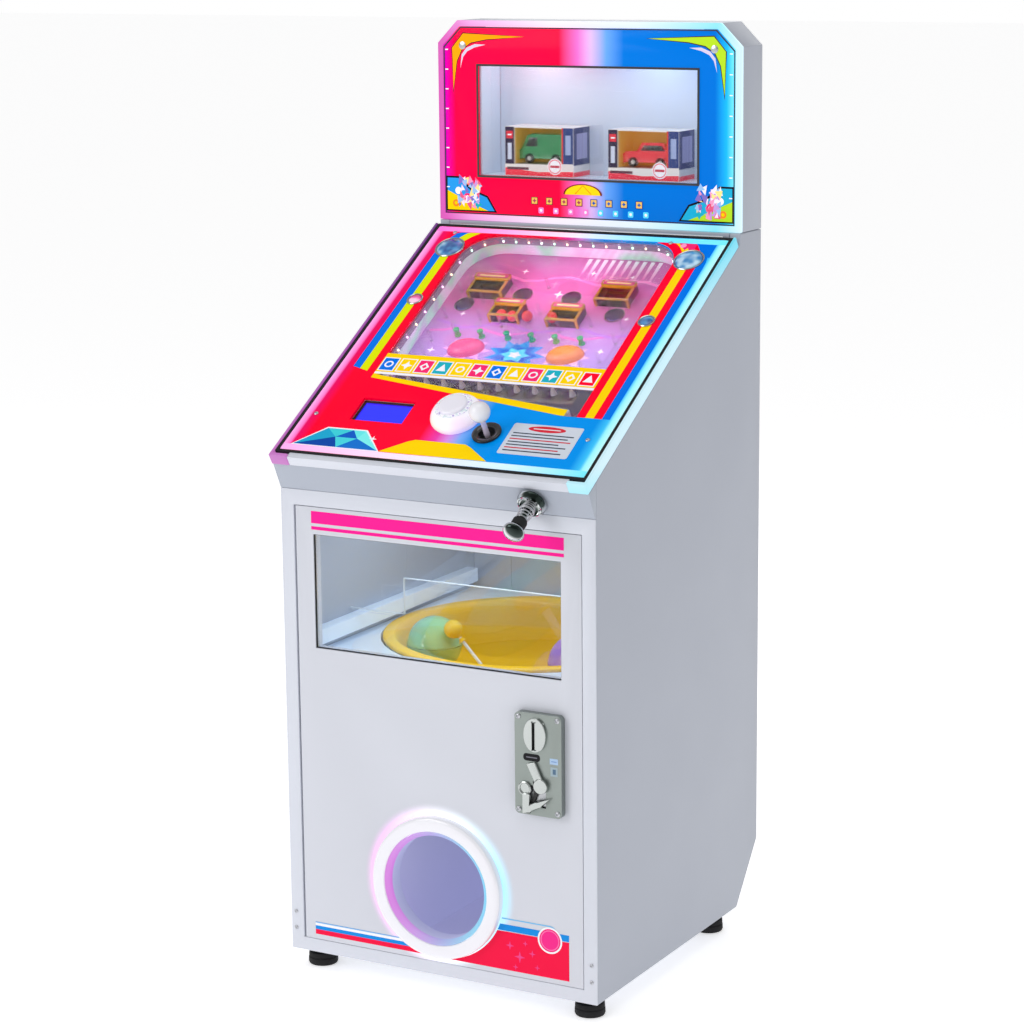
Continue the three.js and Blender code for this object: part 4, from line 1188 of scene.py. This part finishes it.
spring_seat = 31.4
drive_spring = spring("plunger_drive_spring", spring_seat, 99.2, 7.4, 7.4, 11.0, 0.8, "cabinet",
                      ("plunger_spring",))
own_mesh(drive_spring)
spring("plunger_bumper_inner", -8.5, -22, 6.4, 9.6, 3.5, 0.8, "plunger")
spring("plunger_bumper_outer", -22, -37.2, 9.6, 6.4, 3.5, 0.8, "plunger")

# --- Playfield ------------------------------------------------------------------------------------
# A printed board hung under the glass inside a clear acrylic rail. Gates stand over the scoring
# holes, translucent bumpers and cones split the marbles' ways, and a rack of pockets ends the run.

foot_y, head_y = on_deck(0, 124, -18).y, on_deck(0, 478, -18).y
# The board's print runs from lavender at its foot to pink at its head, and it glows faintly: painted
# light.
board_print = ramped("playfield_board_print_painted_glow", [
    (foot_y, srgb(140, 128, 196)), (foot_y + 0.1, srgb(164, 136, 208)),
    (foot_y + 0.18, srgb(190, 124, 194)), (head_y - 0.1, srgb(214, 96, 168)),
    (head_y, srgb(186, 96, 160)),
], "Y", rough=0.25, strength=0.08, coat=0.4)
softened("playfield_board", board_print, "cabinet", bevel=0.4)

# Frosted acrylic with lamps behind it shows soft patches of pink, mint and lilac light.
pastel_acrylic = finish("pastel_lit_acrylic", srgb(226, 196, 232), 0.25, shade=0.0)
clouded(pastel_acrylic, 16, 1, [(0.32, srgb(206, 150, 216)), (0.44, srgb(170, 225, 200)),
                                (0.56, srgb(232, 214, 240)), (0.68, srgb(250, 180, 225))], 0.3)
softened("playfield_rail", pastel_acrylic, "cabinet", bevel=0.4)
# The band along the opening's inner wall is dark mauve: painted shade on the arch's inner wall.
arch_painted_shade = finish("mauve_arch_painted_shade", srgb(150, 128, 160), 0.35, relief=0.1, coat=0.2)
outer, inner = play_opening(0.2), play_opening(1.8)
frame_ring("arch_band", outer, inner, 0.2, 10.1, on_deck, arch_painted_shade, "cabinet", "clear_acrylic",
           bevel=0.2)


def splash(u, v, size, colour, points=9):
    """A wide star with short points, as printed on the playfield."""
    corners = [(size * (1 if k % 2 == 0 else 0.62), math.pi * k / points) for k in range(2 * points)]
    return (colour, [(u + reach * math.cos(t), v + reach * 0.7 * math.sin(t)) for reach, t in corners])


field_shapes = [
    splash(-6, 264, 44, srgb(20, 140, 220)), splash(-6, 264, 35, srgb(0, 96, 205), 7),
    splash(-6, 264, 22, srgb(90, 215, 240), 6), splash(-6, 264, 10, white, 5),
    splash(-80, 268, 36, srgb(226, 160, 222), 8), splash(66, 268, 36, srgb(226, 170, 200), 8),
]
for start, tone in ((206, srgb(150, 110, 205)), (222, srgb(214, 150, 222)), (306, srgb(214, 110, 190)),
                    (316, srgb(176, 110, 205)), (420, srgb(240, 120, 190))):
    ribbon = [(-152 + 22 * k, start + 7 * math.sin(k * 1.3 + start)) for k in range(14)]
    field_shapes.append((tone, ribbon + [(u, v + 5) for u, v in reversed(ribbon)]))
for u, v, size in ((-130, 262, 7), (-120, 340, 6), (0, 392, 8), (110, 282, 7), (118, 350, 5),
                   (-34, 304, 5), (30, 440, 6), (-70, 436, 6), (90, 436, 5), (-128, 420, 6),
                   (-120, 230, 6), (100, 232, 6), (30, 300, 5), (-10, 226, 5)):
    field_shapes.append((srgb(255, 236, 250), sparkle(u, v, size)))
field_top = -17.9
gates = ((-126, -76, 374, 408), (64, 111, 374, 408), (-72, -30, 328, 358), (14, 58, 326, 356))
# The board under each gate is painted dark: painted shade inside the gate.
for u0, u1, v0, v1 in gates:
    field_shapes.append((srgb(44, 12, 30), rect(u0, u1, v0 - 1, v1)))
# Ten pale streaks at the upper right, white at the top and fading into the pink below, are painted
# reflections of lamps on the glossy board.
for k in range(10):
    u, fall = 12 + 11.5 * k, 34 + 14 * (k * 7 % 5) / 4
    painted_reflection_streak = [(u, 470 - fall), (u + 3.4, 470 - fall), (u + 4.6, 470), (u - 1.2, 470)]
    field_shapes.append(([srgb(226, 96, 176), srgb(226, 96, 176), white, white], painted_reflection_streak))
# The scoring holes are painted on the board: a dark disc of painted shade, with a lighter blue crescent
# at its lower edge as painted light on the hole's wall.
cups = ((-127, 359), (-51, 386), (22, 385), (98, 356))
for u, v in cups:
    field_shapes += [(srgb(10, 14, 44), disc(u, v, 12.8, 28)),
                     (srgb(30, 70, 150), disc(u, v - 4, 7.6, 20)),
                     (srgb(14, 20, 60), disc(u, v - 2.4, 7.4, 20))]
# The playfield's ink glows faintly: painted light; it also prints the gate signs and the pocket shading.
field_ink = ink_material("playfield_ink_painted_glow", rough=0.25, coat=0.3, glow_strength=0.12, specular=0.3)
ink_sheet("playfield_artwork", field_shapes, on_deck, -17.98, field_ink, "cabinet",
          step=0.006)


def turned_mesh(name, profile, steps=24):
    """A turned template for copies, its axis on Z."""
    bm = bmesh.new()
    lathe(bm, profile, (0, 0), lambda a, b, h: Vector((a, b, h)) / 1000, steps)
    return template_mesh(name, bm)


rim_mesh = turned_mesh("hole_rim", [(12.4, 0.06), (14.2, 0.06), (14.2, 0.9), (13.7, 1.4), (13, 1.4),
                                    (12.4, 0.8)], 32)
repeated("hole_rims", rim_mesh, [on_deck(u, v, field_top) for u, v in cups], facing_up_slope, chrome,
         "cabinet")
gate_gold = finish("gold_plated_plastic", srgb(240, 184, 40), 0.22, metal=0.7, relief=0.05, coat=0.4)
gate_dark = finish("dark_gate_plastic", srgb(40, 12, 30), 0.3, coat=0.3)
walls, headers = bmesh.new(), bmesh.new()
for u0, u1, v0, v1 in gates:
    solid(walls, [(u0, v0), (u0 + 2.6, v0), (u0 + 2.6, v1 - 3), (u1 - 2.6, v1 - 3), (u1 - 2.6, v0),
                  (u1, v0), (u1, v1), (u0, v1)], field_top, -6.1, on_deck)
    solid(headers, rounded(u0 - 1.5, u1 + 1.5, v1 - 9, v1 + 1.5, 2), -6, -2.6, on_deck)
    solid(headers, rounded(u0 - 0.6, u1 + 0.6, v0 - 2, v1 - 9.4, 2), -6, -4.6, on_deck,
          [rounded(u0 + 2.6, u1 - 2.6, v0 + 1.4, v1 - 11.4, 1.5)])
    for u in (u0, u1):
        solid(headers, disc(u, v0 - 0.5, 2.2, 14), field_top, -6.1, on_deck)
settle("gate_walls", walls, gate_dark, "cabinet", bevel=0.3)
settle("gate_headers", headers, gate_gold, "cabinet", bevel=0.5)
signs = []
for u0, u1, _, v1 in gates:
    signs += [(srgb(206, 60, 130), rounded(u0 + 1, u1 - 1, v1 - 7.4, v1, 1)),
              (srgb(255, 232, 150), rect(u0 + 6, u1 - 6, v1 - 5, v1 - 2.6))]
ink_sheet("gate_signs", signs, on_deck, -2.6, field_ink, "cabinet", step=0.02)
for name, u, tone, light in (("pink_bumper", -80, srgb(246, 70, 140), srgb(255, 60, 140)),
                             ("orange_bumper", 66, srgb(250, 140, 50), srgb(255, 120, 40))):
    dome = [(22 * math.cos(t), field_top + 13 * math.sin(t))
            for t in (math.pi / 2 * k / 10 for k in range(10))]
    silicone = finish(name + "_silicone", tone, 0.2, relief=0.1, coat=0.6, shade=0.18, glow=light,
                      glow_strength=0.06)
    turned(name, [(0, field_top)] + dome + [(0, -4.9)], (0, 0),
           lambda a, b, h, u=u: on_deck(u + a * 1.12 + b * 0.25, 268 + b * 0.8, h), 40, silicone,
           "cabinet", smooth=50)

softened("pocket_rack", acrylic, "cabinet", bevel=0.3)
# Under the printed band the pocket area is painted dark slate, with darker discs in the pockets: painted
# shade.
pocket_painted_shade_shapes = [(srgb(84, 80, 112), rect(-152, 152, 126, 206))]
for u in (-132.8 + pocket_pitch * k for k in range(10)):
    pocket_painted_shade_shapes.append((srgb(34, 18, 52), disc(u, 192, 10, 24)))
    pocket_painted_shade_shapes.append((srgb(90, 50, 120), disc(u, 193, 6.5, 20)))
ink_sheet("pocket_floors", pocket_painted_shade_shapes, on_deck, field_top, field_ink, "cabinet",
          step=0.005)
cone_mesh = turned_mesh("divider_cone", [(0, 0), (4.4, 0), (4.6, 0.8), (2.4, 7.5), (1.7, 9), (0.8, 9.7),
                                         (0, 9.8)])
repeated("pocket_cones", cone_mesh, [on_deck(-146 + pocket_pitch * k, 183, -8) for k in range(11)],
         facing_up_slope, gloss_white, "cabinet")
bumper_mesh = turned_mesh("bumper", [(0, 0), (4.6, 0), (4.6, 1.4), (3.2, 2.2), (3.2, 8), (4.4, 9.2),
                                     (4.2, 10.8), (2.4, 12), (0, 12.4)])
green_clear = finish("green_tinted_plastic", srgb(16, 150, 84), 0.14, coat=0.8, relief=0.03,
                     glow=srgb(20, 190, 100), glow_strength=0.12)
repeated("green_bumpers", bumper_mesh, [on_deck(u, 295, field_top) for u in (-105, -69, -30, 6, 41, 78)],
         facing_up_slope, green_clear, "cabinet")
post_mesh = turned_mesh("clear_post", [(0, 0), (2.6, 0), (2.6, 0.8), (1.9, 1.6), (1.9, 13), (2.6, 14),
                                       (2.2, 15.6), (0, 16.2)], 16)
post_places = [
    (-101, 366), (88, 366), (-51, 318), (36, 316), (-140, 330), (120, 330), (-20, 404), (-88, 330),
    (76, 330), (-8, 350), (-138, 280), (-134, 250), (-128, 222), (-112, 300), (104, 240), (118, 262),
    (-106, 214), (-40, 218), (30, 216), (90, 212), (124, 300), (-144, 386), (-134, 402),
]
repeated("clear_posts", post_mesh, [on_deck(u, v, field_top) for u, v in post_places], facing_up_slope,
         acrylic, "cabinet")
marble_radius = 7.5
marble = [(marble_radius * math.cos(t) if 0 < k < 16 else 0, marble_radius + marble_radius * math.sin(t))
          for k, t in ((k, math.radians(-90 + 11.25 * k)) for k in range(17))]
ball_mesh = turned_mesh("marble", marble, 28)
marble_red = finish("red_marble", srgb(232, 20, 34), 0.08, relief=0.0, coat=1.0)
marbles = [on_deck(u, v, -17.8) for u, v in ((-18, 334), (18, 335), (-56, 334), (-39, 332), (145, 132))]
repeated("marbles", ball_mesh, marbles, facing_up_slope, marble_red, "cabinet")

arch_lamps = [on_deck(-113 + 19.4 * k, 469.2, 5) for k in range(13)]
arch_lamps += [on_deck(u, v, 5) for u, v in ((-150.8, 446), (-137, 459.6), (150, 446), (136.4, 459.6))]
side_lamps = [on_deck(side * 155.9, v, 5) for side in (-1, 1) for v in range(230, 420, 27)]
led_mesh = turned_mesh("led", [(0, -2.2), (2.4, -2.2), (2.4, 0.8), (1.7, 1.9), (0.8, 2.4), (0, 2.5)], 14)
for name, places, tone in (("white", arch_lamps[0::3], srgb(250, 250, 255)),
                           ("green", arch_lamps[1::3], srgb(190, 255, 215)),
                           ("warm", arch_lamps[2::3] + side_lamps[0::2], srgb(255, 226, 190)),
                           ("pink", side_lamps[1::2], srgb(255, 190, 240))):
    repeated(f"arch_leds_{name}", led_mesh.copy(), places, facing_up_slope,
             finish(f"{name}_led", tone, 0.2, glow=tone, glow_strength=2.4), "cabinet",
             size=0.55)
for name, u, v, colour in (("left", -80, 270, (1.0, 0.78, 0.95)), ("top", 0, 400, (1, 0.88, 1)),
                           ("right", 80, 270, (0.93, 0.88, 1.0))):
    lamp("playfield_lamp_" + name, on_deck(u, v, 9), colour, 0.055, 0.12, facing_up_slope)

# --- Marquee --------------------------------------------------------------------------------------
# A shallow lit box of laminated board on top. Its printed acrylic front has a luminous chamfered
# edge, and a framed window in it shows a small showcase with two toy boxes.


def on_marquee(a, b, h):
    """A point on the marquee's front: a across, b up, h out towards the player."""
    return at(a, 408 - h, b)


softened("marquee_shell", laminate, "cabinet", bevel=0.8)
edge_light = ramped("marquee_edge_light", [
    (-0.225, srgb(214, 20, 170)), (-0.214, srgb(226, 40, 180)), (-0.175, srgb(244, 150, 226)),
    (-0.05, srgb(250, 240, 252)), (0.08, srgb(225, 248, 255)), (0.19, srgb(120, 236, 250)),
    (0.225, srgb(214, 248, 255)),
], "X", strength=0.9, base=srgb(90, 84, 100))
softened("marquee_trim", edge_light, "cabinet", bevel=1.2, steps=3)
marquee_print = ramped("marquee_print", [
    (-0.2166, srgb(206, 0, 190)), (-0.209, srgb(232, 0, 140)), (-0.199, srgb(252, 0, 66)),
    (-0.040, srgb(252, 4, 62)), (-0.012, srgb(236, 110, 200)), (0.008, srgb(214, 180, 236)),
    (0.030, srgb(100, 160, 238)), (0.056, srgb(0, 114, 212)), (0.188, srgb(0, 110, 208)),
    (0.205, srgb(30, 180, 240)), (0.2166, srgb(120, 236, 255)),
], "X", rough=0.2, strength=0.28, coat=0.04, specular=0.03)
softened("marquee_panel", marquee_print, "cabinet", bevel=0.4)
softened("marquee_window", glass, "cabinet", bevel=0.3)
plate("marquee_window_frame", rect(-165.8, 165.8, 975.2, 1126.8), -1.0, -0.1, on_marquee, black_plastic,
      "cabinet", bevel=0.2, holes=[rect(-163, 163, 978, 1124)])


def unturned(points):
    return points


def mirrored(points):
    return [(-a, b) for a, b in points]


def edge_line(inset, width):
    """Both outlines of a line that follows the panel's chamfered edge."""
    def loop(i):
        left, right, bottom, top, cut = -225 + i, 225 - i, 916.5 + i, 1184.4 - i, 30 - i * 0.42
        return [(left, bottom), (right, bottom), (right, top - cut), (right - cut, top),
                (left + cut, top), (left, top - cut)]
    return loop(inset), loop(inset + width)


frame_ring("marquee_inner_line", *edge_line(8.6, 1.6), -1.0, -0.5, on_marquee,
           finish("navy_line", srgb(26, 20, 60), 0.3), "cabinet", "marquee_print", bevel=0.0)
orange, lilac_grey, green_lime = srgb(250, 160, 10), srgb(206, 196, 220), srgb(176, 216, 40)
flare = [(-186, 1167), (-92, 1163.5), (-150, 1159.5), (-174, 1155), (-188, 1146), (-196, 1130),
         (-201.6, 1092), (-203, 1148)]
flare_edge = [(-186.5, 1168.4), (-88, 1163.6), (-150, 1158.3), (-173.4, 1153.8), (-187, 1145),
              (-194.8, 1129.6), (-201.7, 1086), (-204.4, 1148)]
wing = [(-151, 1152.4), (-168, 1153), (-181, 1148), (-188.4, 1139), (-190.6, 1121), (-186, 1136),
        (-179.6, 1143.4), (-168, 1148.6)]
picture = [(-213, 930), (-140, 930), (-152, 948), (-176, 956), (-196, 973), (-213, 973)]
frame_line = [(-215, 928), (-136, 928), (-150, 950), (-174, 958.5), (-195, 975.5), (-215, 975.5)]
sign = []
for turn, tone, field in ((unturned, orange, srgb(40, 150, 226)),
                          (mirrored, green_lime, srgb(30, 170, 210))):
    sign += [(srgb(60, 20, 40), turn(flare_edge)), (tone, turn(flare)), (lilac_grey, turn(wing)),
             (ink_black, turn(frame_line)), (field, turn(picture)),
             (gold if tone is orange else green_lime, turn([(-213, 930), (-150, 930), (-176, 940),
                                                            (-213, 956)])),
             (srgb(250, 240, 250), turn(disc(-196, 956, 5, 16))), (rose, turn(disc(-182, 947, 6, 18))),
             (white, turn(disc(-182, 947, 3, 14))), (srgb(250, 130, 40), turn(disc(-200, 939, 5, 16))),
             (gold, turn(disc(-200, 939, 2.4, 12))), (teal, turn(sparkle(-166, 938, 7, 0.5)))]
chance = random.Random(4)
pastels = (srgb(246, 224, 240), srgb(196, 150, 214), srgb(240, 150, 190), srgb(150, 190, 232),
           srgb(250, 226, 140), srgb(226, 90, 130), srgb(232, 232, 246), srgb(130, 110, 190))
for turn in (unturned, mirrored):
    for k in range(46):
        a, b = chance.uniform(-196, -162), chance.uniform(936, 972)
        b = min(b, 984 - 0.7 * abs(a + 180))
        reach, lean = chance.uniform(4, 8), chance.uniform(0, 6.28)
        sign.append((pastels[k % 8], turn([(a + reach * chance.uniform(0.5, 1) * math.cos(lean + t),
                                            b + reach * math.sin(lean + t)) for t in (0, 2.0, 3.9)])))
for k in range(8):
    x = -78 + 22.4 * k
    edge, motif, pad = ((srgb(120, 20, 60), srgb(170, 60, 90), srgb(244, 130, 210)) if x < 10 else
                        (srgb(20, 60, 150), srgb(20, 90, 180), srgb(90, 215, 245)))
    sign += [(edge, rounded(x - 5.2, x + 5.2, 941.6, 952, 0.8)),
             (srgb(236, 190, 90), rounded(x - 4.2, x + 4.2, 942.6, 951, 0.6)),
             (motif, sparkle(x, 946.8, 3.2, 0.5)), (pad, rounded(x + 6, x + 14, 930, 938, 1.6)),
             (white, disc(x + 10, 934, 2, 12))]
for reach, tone in ((29, srgb(120, 30, 30)), (26.5, srgb(252, 214, 20))):
    sign.append((tone, [(a, 957 + b * 0.5) for a, b in arc(-5, 0, reach, 180, 0, 14)]))
for a in (-17, 7):
    sign.append((srgb(230, 120, 20), [(a, 958), (a + 1.6, 958), (-4, 969.6), (-5, 969.6)]))
for k in range(8):
    level = 960 + 26.4 * k
    if level < 1150:
        sign += [(white, rect(a, a + 4.5, level, level + 1.4)) for a in (-213.5, 209)]
sign_ink = ink_material("marquee_ink", rough=0.2, coat=0.04, glow_strength=0.26, specular=0.03)
ink_sheet("marquee_artwork", sign, on_marquee, -1.0, sign_ink, "cabinet", step=0.006)
stud_mesh = turned_mesh("stud", [(0, 0), (5.2, 0), (5.2, 0.5), (4.2, 0.8), (0, 0.95)])
repeated("marquee_studs", stud_mesh, [on_marquee(side * 187, 1151, -1.0) for side in (-1, 1)],
         facing_player, polished, "cabinet")

# --- Toy boxes ------------------------------------------------------------------------------------
# Two glued boxes of printed card on the showcase's shelf. A clear film covers the cut-out in front
# of each, and a toy vehicle stands inside on the card. Two lamps light them; the glow of the white
# liners, the amber inner cards, the vehicles and the box print is painted light.

# The amber inner card, the box print and the vehicles' enamel glow faintly: painted light.
card = finish("printed_card", srgb(232, 230, 228), 0.45, grain=900, relief=0.1)
amber_card_painted_glow = finish("amber_card_painted_glow", srgb(236, 186, 84), 0.5, grain=900, relief=0.1, glow=srgb(236, 186, 84),
                    glow_strength=0.12)
tyre = finish("toy_tyre", srgb(20, 20, 22), 0.6)
card_ink_painted_glow = ink_material("card_ink_painted_glow", rough=0.35, coat=0.1, specular=0.3, glow_strength=0.1)


box_width = 104


def on_box(a, b, h):
    """A point on the boxes' front: a across, b up, h out towards the player."""
    return at(a, 418.5 - h, b)


def toy_box(node, left, paint, outline, window):
    """Card shell open at its window, the amber inner card, and the vehicle cut in two heights."""
    right = left + box_width
    opening = rect(left + 14.2, right - 18.2, 994.2, 1042.4)
    shell = bmesh.new()
    solid(shell, rect(left, right, 978.4, 1044), -47.5, -46, on_box)
    for a0, a1, b0, b1 in ((left, right, 978.4, 994), (left, left + 14, 994.1, 1044),
                           (right - 18, right, 994.1, 1044), (left + 14.1, right - 18.1, 1042.6, 1044)):
        solid(shell, rect(a0, a1, b0, b1), -45.9, 0, on_box)
    settle(node + "_shell", shell, card, "cabinet", (node,), bevel=0.3)
    plate(node + "_inner", opening, -45.8, -44, on_box, amber_card_painted_glow, "cabinet", bevel=0.0)
    plate(node + "_inner_side", rect(421, 462, 994.4, 1042.2), left + 14.2, left + 15,
          lambda a, b, h: at(h, a, b), amber_card_painted_glow, "cabinet", bevel=0.0)
    side = [(srgb(52, 56, 104), rect(419, 465.4, 994, 1043.6)),
            (srgb(150, 150, 190), rect(428, 458, 1002, 1036)),
            (srgb(232, 44, 70), rect(419, 465.4, 978.8, 985))]
    ink_sheet(node + "_side_print", side, lambda a, b, h: at(right + h, a, b), 0.0, card_ink_painted_glow, "cabinet",
              step=0.01)
    plate(node + "_film", opening, -0.8, -0.4, on_box, thin_clear, "cabinet", bevel=0.0)
    toy_left, toy_foot = left + 17, 995
    plate(node + "_vehicle", [(toy_left + a, toy_foot + b) for a, b in outline], -36, -12, on_box, paint,
          "cabinet", bevel=2.2, steps=3)
    plate(node + "_vehicle_windows", [(toy_left + a, toy_foot + b) for a, b in window], -36.3, -11.7,
          on_box, gloss_black, "cabinet", bevel=0.2)
    rubber_parts, hubs = bmesh.new(), bmesh.new()
    for a in (14, 54):
        axle = (toy_left + a, toy_foot + 6)
        lathe(rubber_parts, [(3.4, -11.4), (3.6, -10), (6, -9.8), (6.6, -10.6), (6.6, -15), (3.4, -15)],
              axle, on_box, 24)
        lathe(hubs, [(0, -10.6), (2.6, -10.6), (3.3, -11.4), (3.3, -15), (0, -15)], axle, on_box, 20)
    settle(node + "_hubs", hubs, card, "cabinet", smooth=40)
    settle(node + "_wheels", rubber_parts, tyre, "cabinet", smooth=40)


van = [(0, 6), (0, 16), (3, 20), (12, 36), (18, 39), (66, 39), (68, 36), (68, 6)]
van_window = [(8, 22), (14, 34), (26, 34), (26, 22)]
car = [(0, 6), (0, 16), (4, 19), (20, 21), (28, 31), (58, 31), (66, 20), (68, 17), (68, 6)]
car_window = [(25, 21.5), (30, 28.5), (56, 28.5), (61, 21.5)]
toys = []
for node, left, colour_name, colour, outline, window in (
    ("toy_box_left", -128, "green", srgb(30, 132, 74), van, van_window),
    ("toy_box_right", 28, "red", srgb(226, 30, 50), car, car_window),
):
    toy_box(node, left, finish(colour_name + "_enamel_painted_glow", colour, 0.25, coat=0.6, glow=colour,
                               glow_strength=0.15), outline, window)
    right = left + box_width
    toys += [(srgb(40, 26, 60), rect(left + 0.3, left + 13.7, 994, 1043.6)),
             (srgb(214, 40, 60), rect(left + 2, left + 12, 1028, 1038)),
             (white, rect(left + 4, left + 10, 1032, 1034)),
             (srgb(196, 205, 224), rect(left + 4, left + 10, 1000, 1022)),
             (srgb(40, 60, 120), rect(right - 17.8, right - 0.4, 996, 1043.6)),
             (srgb(214, 60, 50), rect(right - 17.8, right - 15.6, 996, 1043.6)),
             (srgb(150, 166, 205), rect(right - 12, right - 4, 1008, 1034)),
             (srgb(232, 44, 70), [(left + 0.3, 978.8), (right - 0.4, 978.8), (right - 0.4, 986),
                                  (left + 50, 984), (left + 0.3, 989)]),
             (srgb(90, 40, 60), rect(left + 3, left + 36, 986.6, 990)),
             (white, disc(left + 76, 992, 11, 28)), (srgb(226, 60, 80), disc(left + 76, 992, 9.6, 28)),
             (white, disc(left + 76, 992, 8.4, 28)),
             (srgb(190, 60, 80), rect(left + 69, left + 83, 990.4, 993.6))]
ink_sheet("toy_box_prints", toys, on_box, 0.0, card_ink_painted_glow, "cabinet", step=0.01)
plate("marquee_light_strip", rounded(-160, 160, 424, 436, 2), 1172, 1178, at,
      led_strip, "cabinet")
# White liners with a faint bluish glow: painted light that brightens the showcase.
showcase_white = finish("showcase_white", srgb(190, 200, 214), 0.4, grain=1200, relief=0.06, shade=0.01,
                        glow=srgb(200, 216, 240), glow_strength=0.2)
plate("showcase_back", rect(-162, 162, 978.6, 1150), 467.6, 469.6, by_depth,
      showcase_white, "cabinet")
plate("showcase_floor", rect(-162, 162, 416.4, 467.4), 978.04, 978.32, at,
      showcase_white, "cabinet", bevel=0.0)
for name, x in (("left", -164.4), ("right", 162.4)):
    plate(f"showcase_{name}", rect(416.4, 467.4, 978.4, 1150), x, x + 2, lambda a, b, h: at(h, a, b),
          showcase_white, "cabinet")
for x in (-90, 90):
    lamp(f"marquee_lamp_{x}", at(x, 438, 1168), (0.88, 0.95, 1.0), 0.06, 0.04)

# --- Service door, lock and power inlet -----------------------------------------------------------
# The back opens on a hinged board with louvres and a cam lock; the mains inlet and its rocker switch
# are below it in the fixed part of the back.

softened("service_door", laminate, "service_door", bevel=0.6)


def on_back(a, b, h=0.0):
    """A point on the back face: a across, b up, h out behind the machine."""
    return at(a, 474 + h, b)


bm = bmesh.new()
lathe(bm, [(0, -24), (8.7, -24), (8.7, 0.3), (11, 0.3), (11, 2.2), (10, 3), (7.6, 3), (7.2, 2.4),
           (0, 2.4)], (128, 375), on_back, 40)
solid(bm, rect(122, 134, 339, 375), -23, -20, on_back)
settle("lock_barrel", bm, chrome, "service_lock", ("service_lock",), bevel=0.2)
plate("lock_keyway", rounded(127.2, 128.8, 371, 379, 0.7), 2.2, 2.6, on_back, black_plastic,
      "service_lock", bevel=0.0)
softened("power_inlet", black_plastic, "cabinet", bevel=0.6)
softened("power_switch", black_plastic, "power_switch", bevel=0.5)
plate("switch_mark", rounded(-80.6, -79.4, 107.4, 111, 0.5), 4.1, 4.5, on_back, gloss_white,
      "power_switch", bevel=0.0)
bm = bmesh.new()
for a, b in ((-126, 102), (-114, 102), (-120, 109)):
    solid(bm, rect(a - 1, a + 1, b - 2.4, b + 2.4), -15.9, -3, on_back)
settle("inlet_pins", bm, zinc, "cabinet", bevel=0.3)
back_screws = [on_back(a, b, 3) for a, b in ((-142, 105), (-70, 91), (-70, 119))]
facing_back = (-math.pi / 2, 0, 0)
repeated("inlet_screws", screw_head(1.9), back_screws, facing_back, zinc, "cabinet",
         spin=math.pi)
panel_screws = [on_back(a, b) for a in (-190, 190) for b in (150, 340, 530)]
panel_screws += [on_back(a, b) for a in (-120, 0, 120) for b in (655, 890)]
repeated("back_screws", screw_head(3.2), panel_screws, facing_back, zinc, "cabinet",
         spin=math.pi)
plate("rating_plate", rounded(60, 130, 90, 118, 2), 0.02, 0.5, on_back, steel, "cabinet",
      bevel=0.1)

# --- Power supply, control board and wiring -------------------------------------------------------
# A vented steel supply on the base feeds a control board on the left wall; bundled wires run from
# the board to the door. The door's steel latch plate goes on last, behind its free edge.

softened("power_supply", steel, "cabinet", bevel=0.8)
board_green = finish("solder_mask", srgb(20, 96, 60), 0.3, grain=500, relief=0.2, coat=0.3)
softened("control_board", board_green, "cabinet", bevel=0.4)


def on_board(a, b, h):
    """A point on the control board's face: a from front to back, b up, h out of the board."""
    return at(-196 + h, a, b)


chips = bmesh.new()
for a0, a1, b0, b1, tall in ((225, 255, 170, 200, 2.4), (275, 300, 180, 196, 2.2),
                             (230, 262, 130, 142, 3), (280, 296, 135, 151, 2.4),
                             (318, 340, 200, 232, 3.4)):
    solid(chips, rect(a0, a1, b0, b1), 0.1, tall, on_board)
settle("board_chips", chips, mech_plastic, "cabinet", bevel=0.3)
sockets = bmesh.new()
for k in range(5):
    solid(sockets, rect(212 + 28 * k, 232 + 28 * k, 232, 242), 0.1, 9, on_board)
settle("board_sockets", sockets, shelf_white_painted_glow, "cabinet", bevel=0.6)
can_mesh = turned_mesh("capacitor", [(0, 0), (4, 0), (4, 1), (3.7, 1.4), (4, 1.8), (4, 10.4), (3.6, 11),
                                     (0, 11)], 20)
can_spots = ((215, 122), (215, 136), (310, 122), (324, 122), (338, 122))
repeated("board_capacitors", can_mesh, [on_board(a, b, 0.1) for a, b in can_spots], (0, math.pi / 2, 0),
         mech_plastic, "cabinet")


def cable(name, points, radius, material, body):
    """A round bundle of wires along a smooth path through these points."""
    path = bpy.data.curves.new(name, "CURVE")
    path.dimensions, path.bevel_depth, path.bevel_resolution = "3D", radius / 1000, 4
    path.resolution_u, path.use_fill_caps = 10, True
    line = path.splines.new("NURBS")
    line.points.add(len(points) - 1)
    for point, place in zip(line.points, points):
        point.co = (*place, 1)
    line.use_endpoint_u, line.order_u = True, 4
    holder = placed(name + "_path", path)
    bpy.context.view_layer.update()
    made = baked(name, holder, body, smooth=60)
    made.data.materials.clear()
    made.data.materials.append(material)


sleeve = finish("cable_sleeve", srgb(36, 36, 40), 0.6, grain=300, relief=0.4)
cable("supply_cable", [at(-140, 398, 40), at(-140, 420, 60), at(-190, 400, 150), at(-188, 330, 246),
                       at(-190, 325, 240)], 3.0, sleeve, "cabinet")
cable("door_cable", [at(-190, 300, 241), at(-182, 280, 290), at(-150, 100, 300), at(-120, 60, 290),
                     at(60, 40, 290), at(118, 50, 300)], 3.0, sleeve, "cabinet")
cable("inlet_cable", [at(-120, 449, 105), at(-120, 436, 100), at(-130, 420, 60), at(-140, 402, 45)], 3.0,
      sleeve, "cabinet")
latch = bmesh.new()
solid(latch, rounded(196, 205, 300, 340, 1.5), -18.4, -16.1, on_door)
solid(latch, rect(196, 198.4, 312, 328), -34, -18.5, on_door)
settle("door_latch", latch, zinc, "front_door", bevel=0.4)
